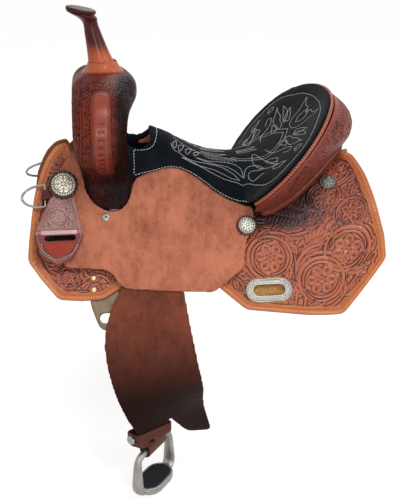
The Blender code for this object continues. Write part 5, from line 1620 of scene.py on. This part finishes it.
def cantle(materials):
    """The cantle's carved back, its laced binding and the roll along its foot."""
    count, levels = CANTLE_COUNT, CANTLE_LEVELS
    angle = np.linspace(-RIM_END, RIM_END, count)
    w = np.linspace(0.02, 0.97, levels)
    outer = cantle_points(angle[:, None], w[None, :])
    inner = cantle_points(angle[:, None], w[None, ::-1][:, ::4], COVER)
    run = distance_along(outer[:, levels // 3])
    run = np.repeat(run - run[-1] / 2, levels)
    down = distance_down(outer)
    whole = np.repeat(down[:, -1], levels)
    down = down.ravel()
    foot = np.maximum(whole * 0.86, 0.012)
    field = step((down - 0.008) / 0.001) * step((foot - down) / 0.001)
    relief, dye = carve_cantle(run, down).result(field)
    lines = sum(bell(down - place, 0.0008) for place in (0.0062, whole * 0.9))
    relief = relief - 0.0006 * lines
    dye = np.clip(dye + 0.8 * lines, 0, 1)
    out = np.stack([np.cos(angle), np.sin(angle), np.zeros(count)], -1)[:, None]
    shown = outer + out * relief.reshape(count, levels)[..., None]
    grid = np.concatenate([shown, inner], 1)
    piece = capped_piece("cantle_leather", grid, materials["cantle"])
    store_shown(piece.data, grid.shape[:2], {
        "dye": (dye, 0.6), "tone": (0.3 + 0.3 * field, 0.6), "shine": (0.3 * field, 0.0)})
    dress(piece, ["cantle_back"])
    edge = rim_points(angle) - rim_normals(angle) * (PAD_EDGE + BINDING_RADIUS + GAP)
    laced_binding(edge, BINDING_RADIUS, materials["lace"])
    foot = cantle_feet(angle, SKIRT + 2 * GAP + ROLL_RADIUS)
    piece = tube("cantle_roll_leather", foot, ROLL_RADIUS, materials["roll"], 20)
    dress(piece, ["cantle_roll"])


def seat_paths(surface):
    """The seat's two sewn rows and its motif, laid on its surface."""
    def drop(points):
        found = []
        for x, y in evenly(points, SEAT_SEWN_STEP):
            hit = surface.ray_cast(Vector((x, y, 0.4)), Vector((0, 0, -1)))
            if hit[0]:
                found.append((*hit[0], *hit[1]))
        return found

    def snap(points):
        found = []
        for point in evenly(points, SEAT_SEWN_STEP):
            hit = surface.find_nearest(Vector(point))
            found.append((*hit[0], *hit[1]))
        return found

    rows = []
    motif = []
    for hand in (1, -1):
        rows.append(snap(spline(np.array(EDGE_ROW) * np.array([1, hand, 1]), 160)))
        for line in seat_motif():
            motif.append(drop(np.array(line) * np.array([1, hand])))
    around_hole = HOLE_ROW + tuple((x, -y) for x, y in HOLE_ROW[-2::-1])
    rows.append(drop(spline(around_hole, 80)))
    return ([np.array(path) for path in rows if len(path) > 3],
            [np.array(path) for path in motif if len(path) > 3])


def leaf_line(start, end, bend, width, waves):
    """The outline of a leaf, from its foot round its tip and back."""
    start, end = np.array(start, float), np.array(end, float)
    chord = end - start
    side = np.array([-chord[1], chord[0]])
    side = side / np.hypot(*side)
    line = bent_line(start, end, bend, 30)
    t = np.linspace(0, 1, len(line))[:, None]
    half = width / 2 * np.sin(pi * t ** 0.8) * (1 + 0.22 * np.sin(2 * pi * waves * t))
    return np.vstack([line + side * half, (line - side * half)[::-1]])


def curl(centre, radius, start, turns):
    """A spiral that winds inwards."""
    angle = np.linspace(0, turns * 2 * pi, 50)
    reach = radius * (1 - 0.8 * angle / angle[-1])
    return np.stack([centre[0] + reach * np.cos(start + angle),
                     centre[1] + reach * np.sin(start + angle)], 1)


def seat_motif():
    """Half of a mirrored western motif, as lines over (x, y)."""
    lines = [spline(SEAT_CONTOUR, 160)]
    lines += [spline(shape, 60) for shape in SEAT_SCROLLS]
    for start, end, bend, width, waves in SEAT_LEAVES:
        lines.append(leaf_line(start, end, bend, width, waves))
    for i in range(8):
        x = 0.004 + 0.0068 * i
        y = 0.0225 + 0.0006 * i
        lines.append([(x, y), (x + 0.006, y + 0.008), (x + 0.01, y + 0.013)])
    lines.append(curl((0.146, 0.124), 0.009, 4.2, 1.2))
    return lines


def seat(materials):
    """The padded suede seat, drawn in along its sewn lines."""
    piece = skin("seat_pad", "seat_suede", materials["suede"], voxel=0.0024,
                 passes=10)
    mesh = piece.data
    points = coordinates(mesh)
    points[:, 0] -= SEAT_FRONT_REACH * step((-0.112 - points[:, 0]) / 0.007)
    move_to(mesh, points)
    rows, motif = seat_paths(tree_of(mesh))
    sewn = np.vstack([path[:, :3] for path in rows + motif])
    tree = KDTree(len(sewn))
    for i, point in enumerate(sewn):
        tree.insert(point, i)
    tree.balance()
    far = np.array([tree.find(point)[2] for point in points])
    drawn = bell(far, 0.0022)
    stuffed = np.clip(far / 0.01, 0, 1) * (far < 0.04)
    normals = vertex_normals(mesh)
    upper = normals[:, 2] > 0.1
    lift = np.where(upper, 0.0006 * stuffed - 0.0011 * drawn, 0.0)
    move_to(mesh, points + normals * lift[:, None])
    store(mesh, "dye", drawn)
    threads = stitches("seat_stitches", [(path[:, :3], path[:, 3:]) for path in rows],
                       materials["thread"], pitch=0.0052, length=0.0036, radius=0.0006)
    dress(threads, [])
    sunk = [(path[:, :3] - path[:, 3:] * 0.0007, path[:, 3:]) for path in motif]
    threads = stitches("seat_scroll_stitches", sunk, materials["thread"], pitch=0.003,
                       length=0.0027, radius=0.00044)
    dress(threads, [])
    skin("ground_seat", "ground_seat_leather", materials["rough"],
         voxel=0.0032, passes=3)


def disc(name, radius, height, material, matrix, rings, around):
    """A closed disc whose upper face is a height over (radius, angle)."""
    r = radius * np.linspace(0.02, 1, rings)[:, None]
    a = np.linspace(0, 2 * pi, around, endpoint=False)[None, :]
    r, a = np.broadcast_arrays(r, a)
    z, reach, dye = height(r, a)
    top = np.stack([reach * np.cos(a), reach * np.sin(a), z], -1)
    low = top[-1:].copy()
    low[..., 2] = 0
    points = [matrix @ Vector(point) for point in np.concatenate([top, low]).reshape(-1, 3)]
    piece = new_piece(name, points, capped_faces(rings + 1, around), material)
    store(piece.data, "dye", np.concatenate([dye.ravel(), np.zeros(around)]))
    return piece


def concho_height(radius, petals, beads):
    """A domed concho: an engraved flower of petals inside a ring of beads."""
    def height(r, a):
        share = r / radius
        z = CONCHO_DOME * (1 - share ** 2.6) * 0.85 + 0.0012
        phase = (a * petals / (2 * pi)) % 1 - 0.5
        petal = 0.66 * np.cos(pi * phase) ** 0.55
        rim = bell((share - petal) * radius, 0.0008) * (share < 0.7)
        vein = bell(phase * r * 2 * pi / petals, 0.0006) * (share > 0.16) * (share < petal)
        second = np.abs((a * petals / (2 * pi) + 0.5) % 1 - 0.5)
        leaf = bell(second * r * 2 * pi / petals - 0.0014 * (1 - share), 0.0006)
        leaf *= (share > 0.35) * (share < 0.72) * (share > petal)
        ring = bell((share - 0.76) * radius, 0.0006)
        heart = np.clip(1 - (share / 0.12) ** 2, 0, 1)
        round_heart = bell((share - 0.16) * radius, 0.0006)
        beat = (a * beads / (2 * pi)) % 1 - 0.5
        ball = np.hypot(beat * 2 * pi * r / beads, r - 0.88 * radius) / (0.075 * radius)
        bead = np.sqrt(np.clip(1 - ball ** 2, 0, 1))
        between = (share > 0.78) * (share < 0.97) * (bead < 0.1)
        cut = np.clip(rim + vein + leaf + ring + round_heart, 0, 1)
        z = z - 0.0006 * cut + 0.0009 * np.sqrt(heart) + 0.0009 * bead
        z = z - 0.0008 * np.clip((share - 0.965) / 0.035, 0, 1) ** 2
        return z, r, np.clip(0.9 * cut + 0.85 * between + 0.05, 0, 1)
    return height


def scalloped_rosette(name, radius, scallops, material, matrix):
    """A leather rosette: a cylinder whose edge is drawn in between its scallops."""
    piece = primitive(name, bpy.ops.mesh.primitive_cylinder_add, vertices=scallops * 10,
                      radius=radius, depth=ROSETTE, location=(0, 0, ROSETTE / 2))
    bpy.ops.object.transform_apply(location=True)
    inset_faces(piece, lambda face: face.normal.z > 0.9, (
        (0.0007, 0.0), (0.0012, 0.0), (0.0006, -ROSETTE_GROOVE), (0.0006, ROSETTE_GROOVE),
        (0.004, 0.0)))
    points = coordinates(piece.data)
    far = np.hypot(points[:, 0], points[:, 1])
    turn = np.arctan2(points[:, 1], points[:, 0])
    drawn = 1 - 0.11 * (1 - np.abs(np.cos(turn * scallops / 2))) * np.clip(far / radius, 0, 1) ** 3
    points[:, :2] *= drawn[:, None]
    rim = (far > radius * 0.999) & (points[:, 2] > ROSETTE * 0.9)
    points[rim, 2] -= 0.0007
    move_to(piece.data, points)
    cut = np.abs(points[:, 2] - (ROSETTE - ROSETTE_GROOVE)) < 0.0001
    store(piece.data, "dye", np.where(cut, 0.9, 0.0))
    store(piece.data, "tone", np.where(far > radius * 0.9, 0.35, 0.8))
    put_in_place(piece, matrix, material)
    return piece


def conchos(materials):
    """On each side a front and a jockey concho on leather rosettes, and a bare rear one."""
    for word, side in SIDES:
        for key, spot, base, rosette, radius, scallops, petals, beads, metal_key, grid in (
            ("front", FRONT_CONCHO, ROSETTE_LEVEL[word], FRONT_ROSETTE_RADIUS,
             FRONT_CONCHO_RADIUS, 18, 4, 26, "silver", (60, 180)),
            # The jockey conchos' lighter silver is painted light.
            ("jockey", JOCKEY_CONCHO, JOCKEY_TOP + GAP, SMALL_ROSETTE_RADIUS,
             SMALL_CONCHO_RADIUS, 14, 5, 20, "bright", (60, 180)),
            # The rear concho's darker silver is painted shade.
            ("rear", REAR_CONCHO, SKIRT + 0.0009, 0, SMALL_CONCHO_RADIUS, 0, 5, 20, "shaded_silver",
             (48, 160)),
        ):
            surface = side_surface if key == "rear" else flap_surface
            if rosette:
                piece = scalloped_rosette(f"{word}_{key}_rosette_leather", rosette, scallops,
                                          materials["rosette"],
                                          side_matrix(*spot, base, side, surface))
                dress(piece, [f"{word}_{key}_rosette"])
                base += ROSETTE + GAP
            piece = disc(f"{word}_{key}_concho_metal", radius,
                         concho_height(radius, petals, beads), materials[metal_key],
                         side_matrix(*spot, base, side, surface), *grid)
            dress(piece, [f"{word}_{key}_concho"])


def domed_head(name, radius, rise, material, matrix, recess=0.0):
    """A screw's or rivet's head: the top of a ball on a short rim, with a round recess."""
    piece = primitive(name, bpy.ops.mesh.primitive_uv_sphere_add, segments=40, ring_count=24,
                      radius=radius)
    bpy.ops.object.mode_set(mode="EDIT")
    bpy.ops.mesh.select_all(action="SELECT")
    bpy.ops.mesh.bisect(plane_co=(0, 0, 0.0001), plane_no=(0, 0, 1), use_fill=True,
                        clear_inner=True)
    bpy.ops.mesh.select_all(action="SELECT")
    bpy.ops.transform.resize(value=(1, 1, rise / radius))
    bpy.ops.mesh.select_all(action="DESELECT")
    bpy.ops.object.mode_set(mode="OBJECT")
    points = coordinates(piece.data)
    far = np.hypot(points[:, 0], points[:, 1])
    points[:, 2] -= points[:, 2].min()
    top = points[:, 2] > 0.3 * rise
    sunk = np.where(top, recess * step((0.42 - far / radius) / 0.12), 0.0)
    points[:, 2] -= sunk
    move_to(piece.data, points)
    store(piece.data, "dye", 0.9 * sunk / max(recess, 1e-9) * (recess > 0))
    put_in_place(piece, matrix, material)
    return piece


def small_fittings(materials):
    """On each side the jockey's screw, the rigging plates with their rivets, and the dee."""
    for word, side in SIDES:
        place = side_matrix(*JOCKEY_SCREW, JOCKEY_TOP + GAP, side)
        piece = domed_head(word + "_screw_metal", SCREW_RADIUS, SCREW_HEIGHT, materials["steel"],
                           place, SCREW_RECESS)
        dress(piece, [word + "_jockey_screw"])
        for number, spot in enumerate(RIVETS, 1):
            place = side_matrix(*spot, SKIRT + GAP, side)
            piece = domed_head(f"{word}_rivet_{number}_metal", RIVET_RADIUS, RIVET_HEIGHT,
                               materials["brass"], place)
            dress(piece, [f"{word}_rigging_rivet_{number}"])
        rear_plate(word, side, materials)
        for node, material, voxel, slot in (
            ("front_rigging_plate", "bronze", 0.0013, "silver"),
            ("dee_strap", "dark", 0.0008, "dark_leather"),
        ):
            skin(f"{word}_{node}", f"{word}_{node}_piece", materials[material], voxel,
                 passes=5)
        skin(word + "_dee_ring", word + "_dee_metal", materials["steel"], voxel=0.0006,
             passes=10, body=word + "_dee_body")


def rear_plate(word, side, materials):
    """The slotted plate: a raised lip round the slot, engraved scrolls and a rope edge."""
    outline = np.array(stadium(REAR_PLATE_LENGTH, REAR_PLATE_WIDTH, 40))
    hole = np.array(stadium(REAR_SLOT_LENGTH - 0.001, REAR_SLOT_WIDTH - 0.001, 40))
    shares = np.linspace(0, 1, 22)
    grid = outline[:, None] + (hole - outline)[:, None] * shares[None, :, None]
    deep = (REAR_PLATE_WIDTH - REAR_SLOT_WIDTH) / 2 * shares[None, :]
    along = distance_along(outline)[:, None] + 0 * deep
    rope = np.cos((along + deep * 0.8) / 0.0028 * 2 * pi)
    at_rope = bell(deep - 0.0015, 0.0011, 4)
    lip = bell(deep - 0.0098, 0.0011, 4)
    middle = 0.0054
    scroll = bell(deep - (middle + 0.0016 * np.sin(along / 0.0115 * 2 * pi)), 0.00045)
    twig = bell(deep - middle + 0.0012 * np.sin(along / 0.0038 * 2 * pi), 0.0004)
    line = bell(deep - 0.003, 0.0003) + bell(deep - 0.0084, 0.0003)
    cut = np.clip(scroll + 0.7 * twig + line, 0, 1)
    z = PLATE - 0.0007 + 0.0006 * lip + at_rope * (0.0003 + 0.0003 * rope) - 0.0003 * cut
    z = z - 0.0012 * np.exp(-deep / 0.0004)
    dye = np.clip(0.8 * cut + 0.6 * at_rope * (rope < -0.2), 0, 1)
    top = np.concatenate([grid, z[..., None]], -1)
    low = top[:, [-1, 0]]
    low[..., 2] = 0
    both = np.concatenate([top, low], 1)
    matrix = side_matrix(*REAR_PLATE, SKIRT + GAP, side, side_surface)
    placed = np.array([matrix @ Vector(point) for point in both.reshape(-1, 3)])
    piece = hooped_piece(word + "_rear_plate_metal", placed.reshape(both.shape),
                         materials["plate"])
    store_shown(piece.data, both.shape[:2], {"dye": (dye, 0.0)})
    dress(piece, [word + "_rear_rigging_plate"])


def carve_keeper(u, v):
    """A stem up each side of a flower, under two facing crescents."""
    carving = Carving(u, v, 0.62)
    carving.vine(((-0.233, 0.078), (-0.2285, 0.095), (-0.225, 0.124)), 0.0022, 0.011)
    carving.vine(((-0.262, 0.078), (-0.268, 0.095), (-0.275, 0.124)), 0.0022, 0.011, -1)
    for hand in (1, -1):
        arc = [(-0.2475 + hand * (0.008 + 0.0038 * cos(a)), 0.08 + 0.0045 * sin(a))
               for a in np.linspace(-2.2, 2.4, 24)]
        carving.stroke(arc, 0.0026)
    carving.bloom((-0.249, 0.1075), 0.018, 0.3, 1, 6)
    return carving


def keeper(materials):
    """The latigo keeper: carved above its slot, a plain sewn pocket below it."""
    piece = skin("latigo_keeper", "keeper_leather_piece", materials["keeper"],
                 voxel=0.0008, passes=3, body="keeper_body")
    mesh = piece.data
    points = coordinates(mesh)
    cx, cs = FRONT_CONCHO
    origin = Vector(flap_surface(cx, cs, KEEPER_LEVEL))
    down = np.array([0, -cos(SIDE_SLOPE), -sin(SIDE_SLOPE)])
    out = np.array([0, -sin(SIDE_SLOPE), cos(SIDE_SLOPE)])
    local = points - np.array([origin.x, -origin.y, origin.z])
    u = local[:, 0] + cx
    v = local @ down + cs
    t = local @ out
    upper = t > KEEPER * 0.6
    around = [(cx + 0.022 * cos(a), cs - 0.02 * sin(a))
              for a in (radians(170), radians(130), radians(90), radians(50), radians(10))]
    outline = rounded(KEEPER_OUTLINE, 0.004, 4) + around
    depth = outline_distance(outline, u, v)
    field = step((depth - 0.0072) / 0.0008) * step((0.1275 - v) / 0.0008)
    relief, dye = carve_keeper(u, v).result(field, 0.003)
    lines = sum(bell(depth - d, 0.0005) for d in (0.0016, 0.0062)) + bell(v - 0.129, 0.0005)
    relief = 0.9 * relief - 0.0004 * lines
    dye = np.clip(dye + 0.8 * lines, 0, 1)
    move_to(mesh, points + np.where(upper, relief, 0)[:, None] * out)
    store(mesh, "dye", np.where(upper, dye, 0.5))
    # The carved upper part takes the pale pink light colour: a painted highlight of the keeper's
    # gloss.
    painted_highlight_top = step((0.14 - v) / 0.006)
    store(mesh, "tone", 0.62 - 0.36 * painted_highlight_top - 0.22 * painted_highlight_top * field)
    line = evenly(inset(outline, 0.0039), 0.0006, closed=True)
    line = line[line[:, 1] > 0.132]
    split = int(np.argmax(np.linalg.norm(np.diff(line, axis=0), axis=1))) + 1
    line = np.roll(line, -split, axis=0)
    path = side_points(*line.T, KEEPER_LEVEL + KEEPER, -1, flap_surface)
    normals = np.tile(out, (len(path), 1))
    threads = stitches("keeper_stitches", [(path, normals)], materials["tan_thread"],
                       pitch=0.0036, length=0.0024, radius=0.0004)
    dress(threads, [], "keeper_body")
    keeper_strip(materials, out)


def keeper_strip(materials, out):
    """A smooth pale strip over the keeper's slot and a sewn window of red leather below."""
    top = KEEPER_LEVEL + KEEPER
    for name, corners, lift, key in (
        ("keeper_strip", KEEPER_STRIP, 0.0006, "strip"),
        ("keeper_window", KEEPER_WINDOW, 0.0005, "window"),
    ):
        rim = evenly(rounded(corners, 0.003, 5), 0.001, closed=True)
        centre = rim.mean(0)
        rings = []
        for share, level in ((1.0, 0.0), (1.0, lift * 0.6), (0.97, lift), (0.5, lift),
                             (0.02, lift)):
            ring = centre + (rim - centre) * share
            rings.append(side_points(*ring.T, top + GAP + level, -1, flap_surface))
        piece = capped_piece(name, np.array(rings), materials[key])
        dress(piece, [], "keeper_body")
    line = spline(WINDOW_ROW, 60)
    path = side_points(*line.T, top + GAP, -1, flap_surface)
    threads = stitches("keeper_window_stitches", [(path, np.tile(out, (len(path), 1)))],
                       materials["thread"], pitch=0.0046, length=0.003, radius=0.00062)
    dress(threads, [], "keeper_body")


def inner_solids(materials):
    """The tree and post, which only show through the hand hole and under the fork."""
    for node, material in (
        # The tree's cantle and bars are near black: partly a dark leather cover, partly painted
        # shade where they show in gaps.
        ("tree_fork", "rawhide"), ("tree_cantle", "cover_and_shade"), ("near_tree_bar", "cover_and_shade"),
        ("off_tree_bar", "cover_and_shade"), ("horn_post", "steel"),
    ):
        give_material(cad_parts[node].data, materials[material])


# Stage

def lay_floor():
    """A pale floor that keeps the shadow and is nearly white where it is seen."""
    floor = primitive("floor", bpy.ops.mesh.primitive_plane_add, size=30,
                      location=(0, 0, FLOOR_Z))
    shader = Shader("floor")
    shader.plug(shader.principled, "Base Color", (0.95, 0.95, 0.95, 1))
    shader.plug(shader.principled, "Roughness", 0.95)
    shader.plug(shader.principled, "Specular IOR Level", 0.0)
    glow = shader.node("ShaderNodeEmission", {}, {"Color": (1, 1, 1, 1), "Strength": 1.32})
    mixed = shader.node("ShaderNodeMixShader", {}, {
        0: shader.seen_rays() * 0.6, 1: shader.principled.outputs[0], 2: glow.outputs[0]})
    shader.links.new(mixed.outputs[0], shader.nodes["Material Output"].inputs[0])
    floor.data.materials.append(shader.material)


def light_scene(scene):
    """Lamps, and a world that is white where it is seen and dimmer as a light."""
    world = bpy.data.worlds.new("world")
    scene.world = world
    world.use_nodes = True
    sky = Nodes(world.node_tree)
    background = sky.nodes["Background"]
    sky.plug(background, "Color", (1, 1, 1, 1))
    sky.plug(background, "Strength", sky.seen_rays() * (1 - WORLD_LIGHT) + WORLD_LIGHT)
    for name, place, size, power in LAMPS:
        light = bpy.data.lights.new(name, "AREA")
        light.size = size
        light.energy = power
        lamp = new_object(name, light)
        lamp.location = place
        lamp.rotation_euler = (Vector((0, 0, 0)) - Vector(place)).to_track_quat(
            "-Z", "Y").to_euler()


def set_camera(scene):
    """The photograph's camera."""
    data = bpy.data.cameras.new("camera")
    data.sensor_fit = "VERTICAL"
    data.sensor_height = SENSOR
    data.lens = LENS
    camera = new_object("camera", data)
    back = Vector((
        sin(CAMERA_AZIMUTH) * cos(CAMERA_ELEVATION), -cos(CAMERA_AZIMUTH) * cos(CAMERA_ELEVATION),
        sin(CAMERA_ELEVATION),
    ))
    camera.location = CAMERA_TARGET + back * CAMERA_DISTANCE
    camera.rotation_euler = back.to_track_quat("Z", "Y").to_euler()
    scene.camera = camera


def stage():
    """The photograph's setting."""
    scene = bpy.context.scene
    lay_floor()
    light_scene(scene)
    set_camera(scene)
    scene.view_settings.view_transform = "Standard"


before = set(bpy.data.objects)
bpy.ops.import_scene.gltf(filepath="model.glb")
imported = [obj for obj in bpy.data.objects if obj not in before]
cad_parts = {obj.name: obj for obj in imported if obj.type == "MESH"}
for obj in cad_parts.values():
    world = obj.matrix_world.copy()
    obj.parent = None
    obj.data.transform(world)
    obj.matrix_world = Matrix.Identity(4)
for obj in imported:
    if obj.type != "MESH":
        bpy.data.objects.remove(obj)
bpy.ops.object.select_all(action="DESELECT")
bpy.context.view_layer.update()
stage()
palette = make_materials()
inner_solids(palette)
fork_piece = fork(palette)
horn(palette, fork_piece)
cantle(palette)
seat(palette)
conchos(palette)
small_fittings(palette)
keeper(palette)
for side_word, side_sign in SIDES:
    skirt(side_word, side_sign, palette)
    fleece(side_word, palette)
    jockey(side_word, palette)
    hanging_leathers(side_word, palette)
    metal_stirrup(side_word, palette)
